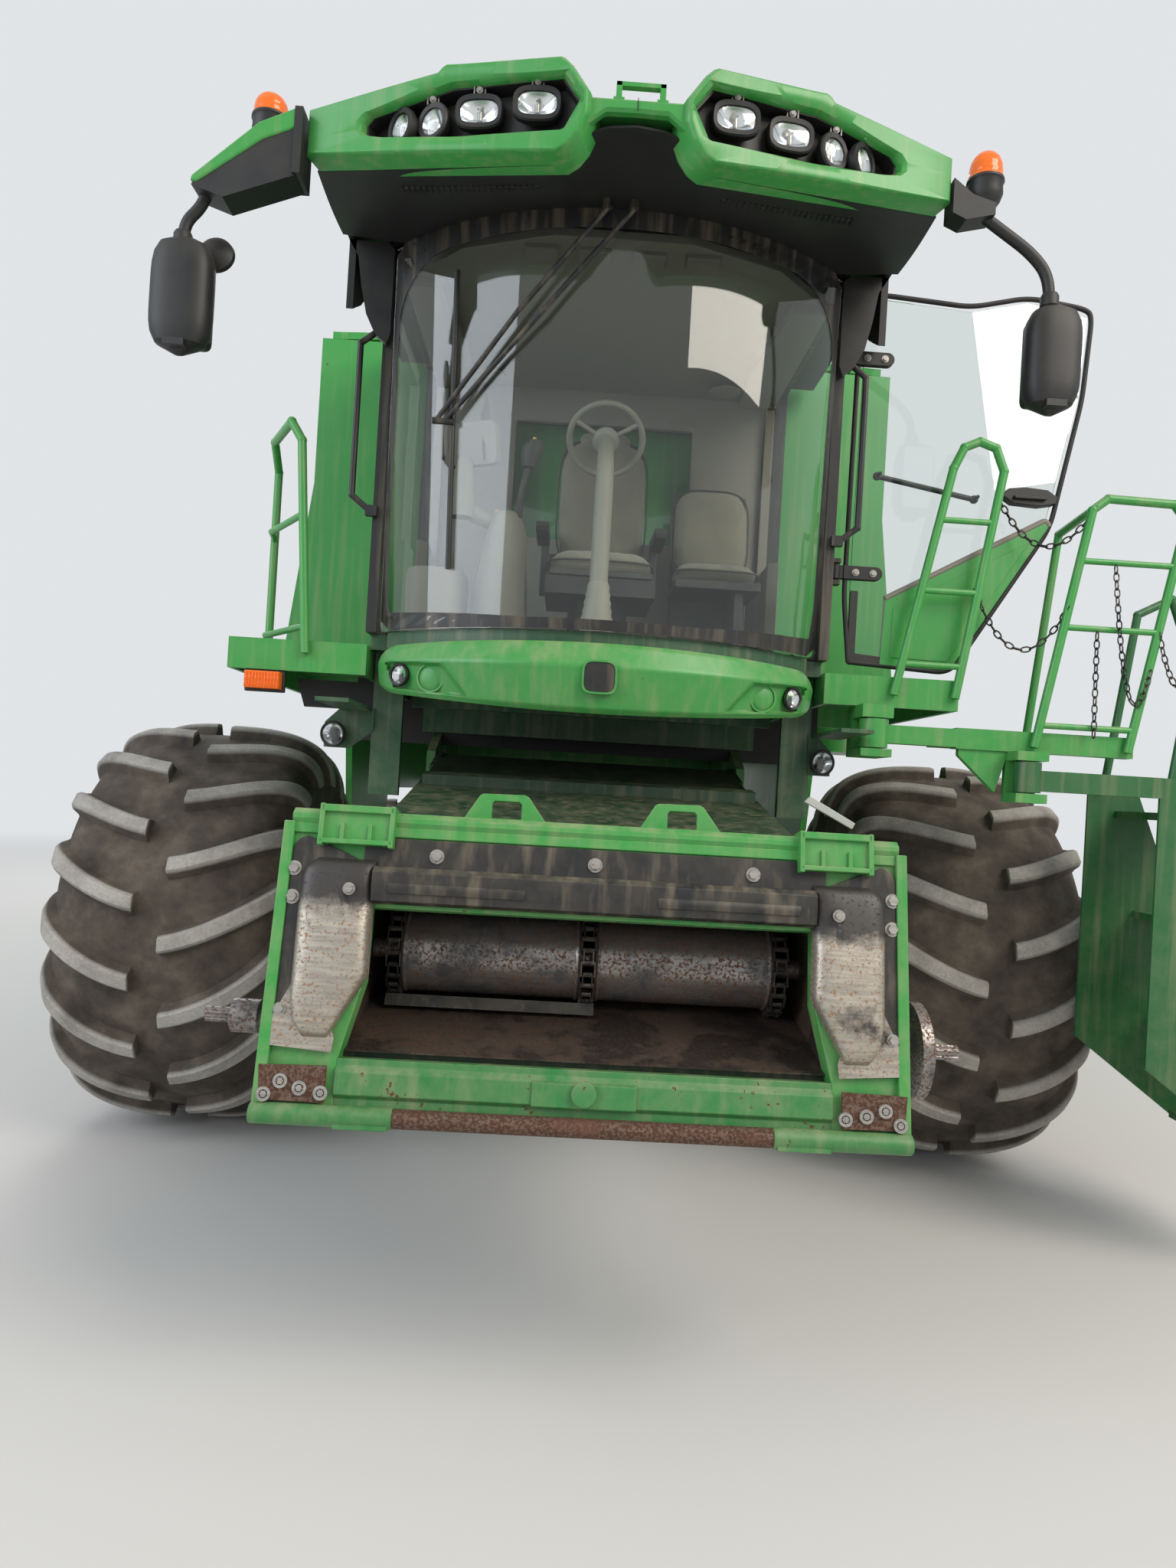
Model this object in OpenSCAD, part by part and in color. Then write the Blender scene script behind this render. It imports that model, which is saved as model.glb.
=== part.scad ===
// Combine harvester, self-propelled, without its header, cab door open and ladder swung out.
// Millimetres. Pieces are drawn with the front axle at Y = 0, the middle at X = 0, the ground at
// Z = 0 and the front facing -Y. in_frame() then centres the whole machine on the origin.

/* [Front wheels] */
// Outside diameter of a front tyre over its lugs
front_tyre_d = 2000; // [1800:10:2150]
// Width of a front tyre
front_tyre_w = 1200; // [900:10:1240]
// Diameter of a front rim
front_rim_d = 813; // [760:1:900]
// Distance between the middles of the front tyres
front_track = 3700; // [3660:10:3900]
// Lugs on each half of a front tyre
front_lugs = 18; // [16:1:20]

/* [Rear wheels] */
// Outside diameter of a rear tyre over its lugs
rear_tyre_d = 1600; // [1400:10:1640]
// Width of a rear tyre
rear_tyre_w = 620; // [500:10:640]
// Diameter of a rear rim
rear_rim_d = 762; // [740:1:800]
// Distance between the middles of the rear tyres
rear_track = 3000; // [2960:10:3200]
// Lugs on each half of a rear tyre
rear_lugs = 13; // [13:1:16]
// Distance between the axles
wheelbase = 3550; // [3450:10:3650]
// Height of a tyre's lugs
lug_h = 58; // [40:1:70]

/* [Frame] */
// Middle of each frame rail, sideways from the machine's middle
rail_x = 450; // [420:5:480]
// Width of a frame rail
rail_w = 120; // [90:5:140]
// Height of a frame rail
rail_h = 250; // [200:5:250]
// Side of the square front axle housing
axle_h = 300; // [260:5:320]
// Radius of the drawbar bore at the back
hitch_r = 26; // [20:1:32]

/* [Separator body] */
// Half width of the separator body between the wheels
body_half = 760; // [740:5:770]
// Top of the separator body, where the tank and the engine stand
body_top = 2400; // [2380:5:2440]
// Half width over the side panels
panel_half = 1500; // [1480:5:1540]
// Thickness of a side panel
panel_t = 40; // [30:1:50]
// Lower edge of the side panels over the rear wheels
arch_z = 1700; // [1680:5:1760]
// Lower edge of the side panels between the wheels
sill_z = 1250; // [1200:5:1300]

/* [Grain tank] */
// Half width of the tank's upper box
tank_half = 1460; // [1440:5:1480]
// Front wall of the tank
tank_front = -160; // [-180:5:-150]
// Rear wall of the tank
tank_rear = 2500; // [2400:10:2600]
// Top of the tank, under its covers
tank_top = 3990; // [3960:5:4050]
// Height where the tank's side walls turn inward
tank_crease = 3250; // [3230:5:3300]
// Half width of the tank's lower part
tank_low_half = 1200; // [1150:5:1210]
// Thickness of the tank's walls
tank_wall = 40; // [30:1:50]
// Thickness of a tank cover
cover_t = 36; // [30:1:44]

/* [Cab] */
// Half width of the cab over its posts
cab_half = 905; // [895:1:915]
// Depth of a cab post from front to back
post_d = 70; // [60:1:80]
// Front face of the cab's front posts
post_front = -1400; // [-1410:5:-1390]
// Back face of the cab
cab_back = -220; // [-240:5:-210]
// Top of the cab's floor
cab_floor_z = 2330; // [2320:5:2340]
// Underside of the cab's roof, above the posts
cab_roof_z = 3860; // [3850:5:3880]
// Radius of the curved windscreen, seen from above
screen_r = 1190; // [1150:5:1250]
// Thickness of the glass
glass_t = 8; // [6:1:10]
// Forward lean of the windscreen, in degrees
screen_lean = 4; // [3:0.5:5]

/* [Roof] */
// Half width of the roof
roof_half = 1065; // [1060:1:1090]
// Highest point of the roof
roof_top = 4010; // [4000:5:4040]
// Angle by which each half of the visor turns back, in degrees
visor_turn = 17; // [14:0.5:19]

/* [Feeder house] */
// Half width of the feeder's face
face_half = 870; // [850:5:900]
// Half width of the feeder's opening at its foot
mouth_half = 660; // [640:5:680]
// Half width of the feeder's opening at its top
mouth_top_half = 612; // [600:2:640]
// Backward lean of the feeder's face, in degrees
face_lean = 11.3; // [9:0.1:13]
// Forward reach of the bar at the face's foot
bar_y = 2680; // [2650:5:2700]
// Height of the bar at the face's foot
bar_z = 877; // [860:1:890]
// Radius of that bar
bar_r = 27.5; // [20:0.5:32]
// Height of the feeder's pivot
feeder_pivot_z = 1820; // [1800:5:1840]
// Thickness of the feeder's walls
feeder_wall = 20; // [12:1:24]
// Radius of the front drum
drum_r = 125; // [110:1:135]
// Radius of the splined drive shaft
spline_r = 22; // [17.5:0.5:25]

/* [Decks, landing and ladder] */
// Outer side of the decks
deck_out = 1428; // [1410:1:1450]
// Top of the decks
deck_top = 2280; // [2270:1:2290]
// Radius of a hand rail's tube
tube_r = 17; // [15:0.5:20]
// Outer end of the ladder
ladder_out = 2900; // [2850:5:3000]
// Lowest step of the ladder
ladder_foot = 480; // [450:5:550]

/* [Unloading auger] */
// Radius of the unloading auger's tube
auger_r = 175; // [160:1:180]
// Sideways place of the auger's upright axis
auger_x = 1440; // [1430:1:1450]
// Height of the folded auger's middle
auger_z = 2905; // [2890:5:2920]
// Rear end of the folded auger
tail_reach = 6300; // [6200:10:6400]

/* [Hidden] */
$fn = 48;

// Paints and materials
green = "#2f8a3c";
dark_green = "#1f5f33";
black = "#1d1f20";
grey_steel = "#8d8b85";
worn_steel = "#b5ada0";
rubber = "#4a4640";
yellow = "#d9b13a";
glass = [0.75, 0.85, 0.9, 0.35];
amber = "#e8741c";
lens = "#e9ecec";
cloth = "#6c6a62";

// Clearances
run = 0.05;
gap = 5;
seat_gap = 0.3;

// Reaches from the front axle, which set the frame
left_reach = front_track / 2 + front_tyre_w / 2;
front_reach = bar_y + bar_r;
module in_frame()
    translate([(left_reach - ladder_out) / 2, (front_reach - tail_reach) / 2, 0]) children();

// Slabs between two planes: an outline in Y-Z, in X-Z or in X-Y
module slab_x(x0, x1) translate([x0, 0, 0]) rotate([90, 0, 90]) linear_extrude(x1 - x0) children();
module slab_y(y0, y1) translate([0, y1, 0]) rotate([90, 0, 0]) linear_extrude(y1 - y0) children();
module slab_z(z0, z1) translate([0, 0, z0]) linear_extrude(z1 - z0) children();
// Block between two corners
module block(a, b) translate(a) cube(b - a);
// Both sides of the machine
module both_sides() {
    children();
    mirror([1, 0, 0]) children();
}
// Round bars along X, Y and Z
module bar_x(x0, x1, y, z, r) translate([x0, y, z]) rotate([0, 90, 0]) cylinder(h = x1 - x0, r = r);
module bar_y(y0, y1, x, z, r) translate([x, y1, z]) rotate([90, 0, 0]) cylinder(h = y1 - y0, r = r);
module bar_z(z0, z1, x, y, r) translate([x, y, z0]) cylinder(h = z1 - z0, r = r);
// Straight tube between two points
module stick(a, b, r) {
    d = b - a;
    translate(a) rotate([0, acos(d[2] / norm(d)), atan2(d[1], d[0])]) cylinder(h = norm(d), r = r);
}
// Bent tube through a list of points, with a slightly swollen bend at each inner point
module tube_path(points, r) {
    for (i = [0 : len(points) - 2]) stick(points[i], points[i + 1], r);
    for (i = [1 : 1 : len(points) - 2]) translate(points[i]) sphere(r * 1.07);
}

// Wheels. A wheel turns about X; side is 1 for the machine's left (+X) and -1 for its right.
// A tyre is a ring with a flat crown, round shoulders and one lug for each step of a half. Each
// station of a lug gives the share of the half width and of the radius at its tip, the same at
// its root, and its turn in steps.
front_stations = [[0.03, 1, 0.03, 0.92, 0], [0.64, 0.98, 0.6, 0.915, 0.62], [1, 0.855, 0.84, 0.75, 0.95]];
rear_stations = [[0.03, 1, 0.03, 0.89, 0], [1, 0.93, 0.84, 0.76, 0.95]];
module tyre(d, w, rim_d, count, stations) {
    r = d / 2;
    crown = r - lug_h;
    bead = rim_d / 2 / cos(180 / count) + seat_gap;
    section = crown - bead;
    half = [[bead, 0.36], [crown - 0.3 * section, 0.48], [crown, 0.34]];
    outline = concat([for (p = half) [p[0], p[1] * w]],
                     [for (i = [len(half) - 1 : -1 : 0]) [half[i][0], -half[i][1] * w]]);
    rotate([0, 90, 0]) rotate([0, 0, 90]) rotate_extrude($fn = count) polygon(outline);
    step = 360 / count;
    half_w = 0.036 * r;
    for (side = [-1, 1], i = [0 : count - 1]) {
        points = [for (s = stations, edge = [-1, 1], k = [0, 1])
            let (a = (i + side / 4 + 0.25 + s[4]) * step - 90, rr = s[2 * k + 1] * r)
            let (e = asin(edge * half_w / rr))
            [side * s[2 * k] * w / 2, rr * sin(a + e), rr * cos(a + e)]];
        hull() polyhedron(points, [for (k = [0 : 4 : len(points) - 4]) [k, k + 1, k + 2]]);
    }
}
// A rim: flanged barrel, dished disc and a hub that turns on the spindle
module rim(d, w, disc_x, hub_x, hub_len, hub_r, spindle_r) {
    r = d / 2;
    flange = 20;
    wall = 12;
    bw = 0.72 * w / 2 - 1;
    rotate([0, 90, 0]) rotate_extrude() {
        translate([r - flange - wall, -bw]) square([wall, 2 * bw]);
        for (z = [-bw, bw - wall]) translate([r - flange - wall, z]) square([flange + wall, wall]);
    }
    rotate([0, 90, 0]) difference() {
        union() {
            translate([0, 0, disc_x]) cylinder(h = 2 * wall, r = r - flange - wall);
            translate([0, 0, hub_x]) cylinder(h = hub_len, r = hub_r);
        }
        translate([0, 0, hub_x - 1]) cylinder(h = hub_len - 2 * wall, r = spindle_r + run);
        for (a = [0 : 45 : 359]) rotate([0, 0, a]) translate([0.66 * r, 0, disc_x - 1])
            cylinder(h = 2 * wall + 2, r = 0.085 * r);
    }
}
// Front wheels on the final drives, rear wheels on the knuckles
front_r = front_tyre_d / 2;
rear_r = rear_tyre_d / 2;
front_spindle_r = 90;
front_disc_x = 60;
front_hub_x = -140;
front_hub_len = 230;
rear_spindle_r = 60;
rear_disc_x = 60;
rear_hub_x = -110;
rear_hub_len = 200;
module at_front(side) translate([side * front_track / 2, 0, front_r]) mirror([side < 0 ? 1 : 0, 0, 0])
    children();
module at_rear(side) translate([side * rear_track / 2, wheelbase, rear_r]) mirror([side < 0 ? 1 : 0, 0, 0])
    children();
module front_tyre() tyre(front_tyre_d, front_tyre_w, front_rim_d, front_lugs, front_stations);
module front_tyre_left() color(rubber) in_frame() at_front(1) front_tyre();
module front_tyre_right() color(rubber) in_frame() at_front(-1) front_tyre();
module front_rim() rim(front_rim_d, front_tyre_w, front_disc_x, front_hub_x, front_hub_len, 150,
    front_spindle_r);
module front_rim_left() color(yellow) in_frame() at_front(1) front_rim();
module front_rim_right() color(yellow) in_frame() at_front(-1) front_rim();
module rear_tyre() tyre(rear_tyre_d, rear_tyre_w, rear_rim_d, rear_lugs, rear_stations);
module rear_tyre_left() color(rubber) in_frame() at_rear(1) rear_tyre();
module rear_tyre_right() color(rubber) in_frame() at_rear(-1) rear_tyre();
module rear_rim() rim(rear_rim_d, rear_tyre_w, rear_disc_x, rear_hub_x, rear_hub_len, 110, rear_spindle_r);
module rear_rim_left() color(yellow) in_frame() at_rear(1) rear_rim();
module rear_rim_right() color(yellow) in_frame() at_rear(-1) rear_rim();

// Feeder house geometry, in Y-Z from the front axle
feeder_pivot_y = -420;
feeder_pin_r = 50;
feeder_back = -480;
face_depth = 90;
lift_x = 500;
lift_base = [-240, 780];
lift_eye = [-1500, 1050];
lift_pin_r = 30;
ear_t = 30;

// The two rails, their cross members and the drawbar
frame_rear = 5400;
frame_z = front_r + axle_h / 2;
module main_frame() color(green) in_frame() {
    both_sides() block([rail_x - rail_w / 2, -axle_h / 2, frame_z],
        [rail_x + rail_w / 2, frame_rear, frame_z + rail_h]);
    for (y = [axle_h / 2, 1600, wheelbase - 60, frame_rear - 120])
        block([-(rail_x - rail_w / 2), y, frame_z + 40],
            [rail_x - rail_w / 2, y + 120, frame_z + rail_h - 40]);
    // Drawbar tongue with its pin bore
    difference() {
        block([-90, frame_rear, frame_z + 60], [90, frame_rear + 260, frame_z + 100]);
        bar_z(frame_z, frame_z + 200, 0, frame_rear + 190, hitch_r);
    }
}
// Front axle: square housing, round final drives, spindles and the lift cylinders' brackets
axle_half = front_track / 2 - 320;
module front_axle() color(green) in_frame() {
    block([-axle_half, -axle_h / 2, front_r - axle_h / 2], [axle_half, axle_h / 2, front_r + axle_h / 2]);
    both_sides() {
        bar_x(axle_half, front_track / 2 + front_hub_x - gap, 0, front_r, 260);
        bar_x(axle_half, front_track / 2 + front_hub_x + front_hub_len - 30, 0, front_r, front_spindle_r);
        for (s = [-1, 1]) slab_x(lift_x + s * 90 - ear_t / 2, lift_x + s * 90 + ear_t / 2)
            polygon([[-axle_h / 2, 700], [-axle_h / 2, 930], [lift_base[0] - 60, lift_base[1] + 60],
                     [lift_base[0] - 60, lift_base[1] - 60]]);
        bar_x(lift_x - 90, lift_x + 90, lift_base[0], lift_base[1], lift_pin_r);
    }
    // Cross plate that carries the brackets
    block([-(lift_x + 105), -axle_h / 2, 700], [lift_x + 105, -axle_h / 2 + 40, front_r - axle_h / 2]);
}
// Rear axle: beam on a pedestal, with a boss for each kingpin
king_x = rear_track / 2 - 370;
king_r = 40;
king_boss_h = 240;
module rear_axle() color(green) in_frame() {
    difference() {
        union() {
            block([-king_x + 40, wheelbase - 100, rear_r - 100],
                [king_x - 40, wheelbase + 100, rear_r + 100]);
            both_sides() bar_z(rear_r - king_boss_h / 2, rear_r + king_boss_h / 2, king_x, wheelbase, 70);
        }
        both_sides() bar_z(rear_r - king_boss_h, rear_r + king_boss_h, king_x, wheelbase, king_r + run);
    }
    for (s = [-1, 1]) block([-rail_x - rail_w / 2, wheelbase - 60 + s * 20 - 20, rear_r + 100],
                           [rail_x + rail_w / 2, wheelbase + 60 + s * 20 - 20, frame_z]);
}
// Steering knuckle: kingpin, two ears, upright plate and spindle
module knuckle() {
    ear = 40;
    plate_x = king_x + 78;
    z1 = rear_r + king_boss_h / 2 + gap;
    z0 = rear_r - king_boss_h / 2 - gap;
    bar_z(z0 - ear, z1 + ear, king_x, wheelbase, king_r);
    for (z = [z0 - ear, z1]) {
        bar_z(z, z + ear, king_x, wheelbase, 65);
        block([king_x, wheelbase - 60, z], [plate_x + 35, wheelbase + 60, z + ear]);
    }
    block([plate_x, wheelbase - 80, z0 - ear], [plate_x + 35, wheelbase + 80, z1 + ear]);
    bar_x(plate_x, rear_track / 2 + rear_hub_x + rear_hub_len - 30, wheelbase, rear_r, rear_spindle_r);
}
module knuckle_left() color(green) in_frame() knuckle();
module knuckle_right() color(green) in_frame() mirror([1, 0, 0]) knuckle();

// Separator body: the closed box between the wheels, with the feeder's opening in its front
body_front = cab_back + seat_gap;
body_rear = 4700;
body_z = frame_z + rail_h;
intake_z = 1360;
module separator_body() color(green) in_frame() {
    difference() {
        block([-body_half, body_front, body_z], [body_half, body_rear, body_top]);
        block([-700, body_front - 1, body_z - 1], [700, 300, 2020]);
    }
    // Pivot brackets and their pins, one each side of the feeder house
    both_sides() {
        slab_x(body_half - 40, body_half)
            polygon([[body_front, 1600], [body_front, 2040], [feeder_pivot_y - 90, feeder_pivot_z + 90],
                     [feeder_pivot_y - 90, feeder_pivot_z - 90]]);
        bar_x(mouth_half + feeder_wall + 4, body_half - 20, feeder_pivot_y, feeder_pivot_z, feeder_pin_r);
    }
}
// Grain tank: an open box over a narrower lower part, with flared shields beside the cab
shield_t = 40;
shield_back = tank_front + shield_t;
module grain_tank() color(green) in_frame() {
    low = tank_low_half;
    difference() {
        union() {
            slab_y(tank_front + shield_t, tank_rear)
                polygon([[-low, body_top], [low, body_top], [low, tank_crease - 60],
                    [tank_half, tank_crease],
                         [tank_half, tank_top], [-tank_half, tank_top], [-tank_half, tank_crease],
                         [-low, tank_crease - 60]]);
            // Front wall, wider at its foot, up to the top corners
            slab_y(tank_front, tank_front + shield_t)
                polygon([[-tank_half - 100, body_top], [tank_half + 100, body_top], [tank_half, tank_crease],
                         [tank_half, tank_top], [-tank_half, tank_top], [-tank_half, tank_crease]]);
        }
        slab_y(tank_front + shield_t, tank_rear - tank_wall) offset_box(low - tank_wall);
    }
    // Ears and pins of the covers' hinges on the rim
    both_sides() for (y = cover_hinge_y) {
        for (s = [-1, 1]) block([cover_hinge_x - hinge_r, y + s * hinge_half - 10, tank_top - 1],
                               [cover_hinge_x + hinge_r, y + s * hinge_half + 10,
                                   cover_hinge_z + hinge_r - 2]);
        bar_y(y - hinge_half, y + hinge_half, cover_hinge_x, cover_hinge_z, hinge_r);
    }
}
// Inside outline of the tank in X-Z
module offset_box(low)
    polygon([[-low, body_top + tank_wall], [low, body_top + tank_wall], [low, tank_crease - 60 + tank_wall],
             [tank_half - tank_wall, tank_crease + tank_wall], [tank_half - tank_wall, tank_top + 1],
             [-tank_half + tank_wall, tank_top + 1], [-tank_half + tank_wall, tank_crease + tank_wall],
             [-low, tank_crease - 60 + tank_wall]]);
// Covers lie shut on the rim, hinged along the tank's sides
hinge_r = 14;
cover_hinge_x = tank_half - 20;
cover_hinge_z = tank_top + hinge_r + 8;
cover_hinge_y = [tank_front + 300, (tank_front + tank_rear) / 2, tank_rear - 300];
hinge_half = 76;
cover_edge = cover_hinge_x - 2 * hinge_r;
module tank_cover() {
    z = tank_top + gap;
    slab_y(tank_front + 10, tank_rear - 10)
        polygon([[4, z + 70], [4, z + 70 + cover_t], [cover_hinge_x - 60, z + cover_t],
                 [cover_edge, z + cover_t], [cover_edge, z], [cover_hinge_x - 60, z]]);
    for (y = cover_hinge_y) difference() {
        union() {
            bar_y(y - 60, y + 60, cover_hinge_x, cover_hinge_z, hinge_r + 7);
            block([cover_hinge_x - 40, y - 60, z + 5], [cover_hinge_x, y + 60, z + 25]);
        }
        bar_y(y - 61, y + 61, cover_hinge_x, cover_hinge_z, hinge_r + run);
    }
}
module tank_cover_left() color(green) in_frame() tank_cover();
module tank_cover_right() color(green) in_frame() mirror([1, 0, 0]) tank_cover();

// Side panels: an upper run over the rear wheels and a low part between the wheels
panel_front = 1120;
panel_low_rear = 2420;
panel_rear = 5900;
panel_top = 2690;
module side_panels() color(green) in_frame() both_sides() {
    slab_x(panel_half - panel_t, panel_half)
        polygon([[panel_front, 2060], [panel_front, panel_top], [panel_rear - 300, panel_top],
                 [panel_rear, panel_top - 400], [panel_rear, arch_z + 200], [panel_rear - 250, arch_z],
                 [panel_low_rear + 180, arch_z], [panel_low_rear, sill_z], [panel_front + 300, sill_z],
                 [panel_front + 120, 1600]]);
    // Top ledge that ties the panel to the tank and the hood
    block([tank_low_half, panel_front, panel_top - 30], [panel_half - panel_t, panel_rear - 320, panel_top]);
    // Inner struts to the separator body
    for (y = [panel_front + 60, 2200, 4500])
        block([body_half, y, 2100], [panel_half - panel_t, y + 60, 2180]);
}
// Rear hood: the shell over the engine and the straw walkers, open underneath
hood_half = tank_low_half;
hood_top = 3560;
hood_slope_y = 4500;
hood_t = 30;
module hood_outline(d)
    polygon([[tank_rear + d, body_top - (d > 0 ? 1 : 0)], [tank_rear + d, hood_top - d],
        [hood_slope_y, hood_top - d],
             [panel_rear - 150, 2900 - d], [panel_rear - d, 2500],
                 [panel_rear - d, body_top - (d > 0 ? 1 : 0)]]);
module rear_hood() color(green) in_frame() difference() {
    slab_x(-hood_half, hood_half) hood_outline(0);
    slab_x(-hood_half + hood_t, hood_half - hood_t) hood_outline(hood_t);
    // Intake opening for the cooling screen on the right side
    bar_x(-hood_half - 1, -hood_half + hood_t + 1, screen_y, screen_z, screen_open_r);
}
// Rotary screen over the radiator
screen_y = 3500;
screen_z = 3110;
screen_open_r = 400;
module cooling_screen() color(black) in_frame() {
    difference() {
        bar_x(-hood_half - 60, -hood_half + 25, screen_y, screen_z, screen_open_r - gap);
        bar_x(-hood_half - 61, -hood_half - 20, screen_y, screen_z, screen_open_r - 60);
    }
    bar_x(-hood_half - 90, -hood_half - 20, screen_y, screen_z, 80);
}
// Engine: one plain block behind the tank
module engine() color(grey_steel) in_frame()
    block([-450, 2750, body_top], [650, 3950, body_top + 1000]);
// Exhaust: a silencer pipe through the hood's top
module exhaust() color(grey_steel) in_frame() {
    bar_z(hood_top, hood_top + 420, 500, 2750, 75);
    bar_z(hood_top, hood_top + 30, 500, 2750, 110);
    stick([500, 2750, hood_top + 360], [500, 2920, hood_top + 480], 60);
}
// Fuel tank: a moulded box in the right rear corner, inside the side panel
module fuel_tank() color(black) in_frame() difference() {
    block([-panel_half + panel_t, 4800, arch_z + 60], [-body_half, 5700, panel_top - 300]);
    bar_z(panel_top - 340, panel_top, -panel_half + 200, 4950, 50);
}
// Straw chopper: a box under the hood with a slanted outlet
chopper_z = 1350;
chopper_y = [body_rear, 5750];
module chopper() color(green) in_frame() difference() {
    slab_x(-body_half, body_half)
        polygon([[chopper_y[0], body_z + 60], [chopper_y[0], body_top], [chopper_y[1], body_top],
            [chopper_y[1], 1850],
                 [chopper_y[1] - 200, chopper_z], [frame_rear + 20, chopper_z],
                     [frame_rear + 20, body_z + 60]]);
    slab_x(-body_half + 30, body_half - 30)
        polygon([[chopper_y[1] - 500, 1500], [chopper_y[1] - 500, 2200], [chopper_y[1] + 1, 2200],
                 [chopper_y[1] + 1, 1800], [chopper_y[1] - 140, 1500]]);
}
// Tailboard: spreads the chopped straw, hinged over the chopper's outlet
tail_hinge = [chopper_y[1] + 40, 2230];
module tailboard() color(dark_green) in_frame() {
    slab_x(-body_half + 60, body_half - 60)
        polygon([[tail_hinge[0] - 8, 2200], [tail_hinge[0] + 12, 2200], [tail_hinge[0] + 320, 1700],
                 [tail_hinge[0] + 300, 1690], [tail_hinge[0] - 8, 2180]]);
    for (x = [-480, 0, 480]) difference() {
        union() {
            bar_x(x - 50, x + 50, tail_hinge[0], tail_hinge[1], 22);
            block([x - 50, tail_hinge[0] - 8, 2190], [x + 50, tail_hinge[0] + 8, tail_hinge[1]]);
        }
        bar_x(x - 51, x + 51, tail_hinge[0], tail_hinge[1], 12 + run);
    }
    // Vanes
    for (x = [-560 : 280 : 560]) slab_x(x - 6, x + 6)
        polygon([[tail_hinge[0] + 5, 2170], [tail_hinge[0] + 300, 1695], [tail_hinge[0] + 250, 1680],
                 [tail_hinge[0] - 20, 2060]]);
}
// Rear steps: a ladder on the back of the hood and the rail round the engine deck
module rear_steps() color(green) in_frame() {
    y = panel_rear + 70;
    for (x = [-780, -1090]) {
        bar_z(1500, 2900, x, y, 20);
        for (foot = [[2480, 0], [2850, -125]]) bar_y(panel_rear + foot[1] + seat_gap, y, x, foot[0], 14);
    }
    for (z = [1550 : 300 : 2750]) bar_x(-1090, -780, y, z, 16);
    // Engine deck rail
    both_sides() tube_path([[hood_half - 60, tank_rear + 300, hood_top],
        [hood_half - 60, tank_rear + 300, hood_top + 900],
                            [hood_half - 60, hood_slope_y - 200, hood_top + 900],
                                [hood_half - 60, hood_slope_y - 200, hood_top]], tube_r);
}

// Decks beside the cab. Both have a pressed front face; the left one carries the door's rail and
// the landing's pivot, the right one a closed rail.
deck_in = cab_half - 10 + seat_gap;
deck_front = post_front;
deck_back = tank_front - 0.3;
deck_t = 120;
deck_rail_y = deck_front - tube_r;
module deck() difference() {
    block([deck_in, deck_front, deck_top - deck_t], [deck_out, deck_back, deck_top]);
    block([deck_in + 20, deck_front + 20, deck_top - deck_t - 1],
        [deck_out - 20, deck_back - 20, deck_top - 20]);
}
pivot1 = [1083, -1450];
pivot_z = [1995, 2105];
pivot_r = 32;
module deck_left() color(green) in_frame() {
    deck();
    // Leaning arch rail with three rungs
    foot = [[1164, 2208], [1407, 2208]];
    head = [[1351, 3110], [1552, 3110]];
    tube_path([[foot[0][0], deck_rail_y, foot[0][1]], [head[0][0], deck_rail_y, head[0][1]],
        [1390, deck_rail_y, 3195],
               [1450, deck_rail_y, 3222], [1515, deck_rail_y, 3200], [head[1][0], deck_rail_y, head[1][1]],
               [foot[1][0], deck_rail_y, foot[1][1]]], tube_r);
    for (z = [2333, 2625, 2906]) {
        k = (z - foot[0][1]) / (head[0][1] - foot[0][1]);
        bar_x(foot[0][0] + k * (head[0][0] - foot[0][0]), foot[1][0] + k * (head[1][0] - foot[1][0]),
            deck_rail_y, z, 12);
    }
    // Bracket and pin for the landing
    x = [pivot1[0] - 60, pivot1[0] + 60];
    y = [pivot1[1] - 50, deck_front + 100];
    z = [pivot_z[0] - gap - 30, deck_top - deck_t];
    block([x[0], y[0], pivot_z[1] + gap], [x[1], y[1], z[1]]);
    block([x[0], y[0], z[0]], [x[1], y[1], pivot_z[0] - gap]);
    block([x[0], deck_front + 40, z[0]], [x[1], y[1], z[1]]);
    bar_z(pivot_z[0] - gap - 1, pivot_z[1] + gap + 1, pivot1[0], pivot1[1], pivot_r);
}
module deck_right() color(green) in_frame() mirror([1, 0, 0]) {
    deck();
    tube_path([[1128, deck_rail_y, 2230], [1188, deck_rail_y, 3050], [1240, deck_rail_y + 30, 3130],
               [1390, deck_rail_y + 330, 3140], [deck_out - tube_r, deck_rail_y + 480, 3060],
               [deck_out - tube_r, deck_rail_y + 480, deck_top]], tube_r);
    for (z = [2333, 2766]) tube_path([[1128 + (z - 2230) * 60 / 820, deck_rail_y, z],
        [deck_out - tube_r - 30, deck_rail_y + 330, z],
                                      [deck_out - tube_r, deck_rail_y + 480, z]], 13);
}

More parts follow.
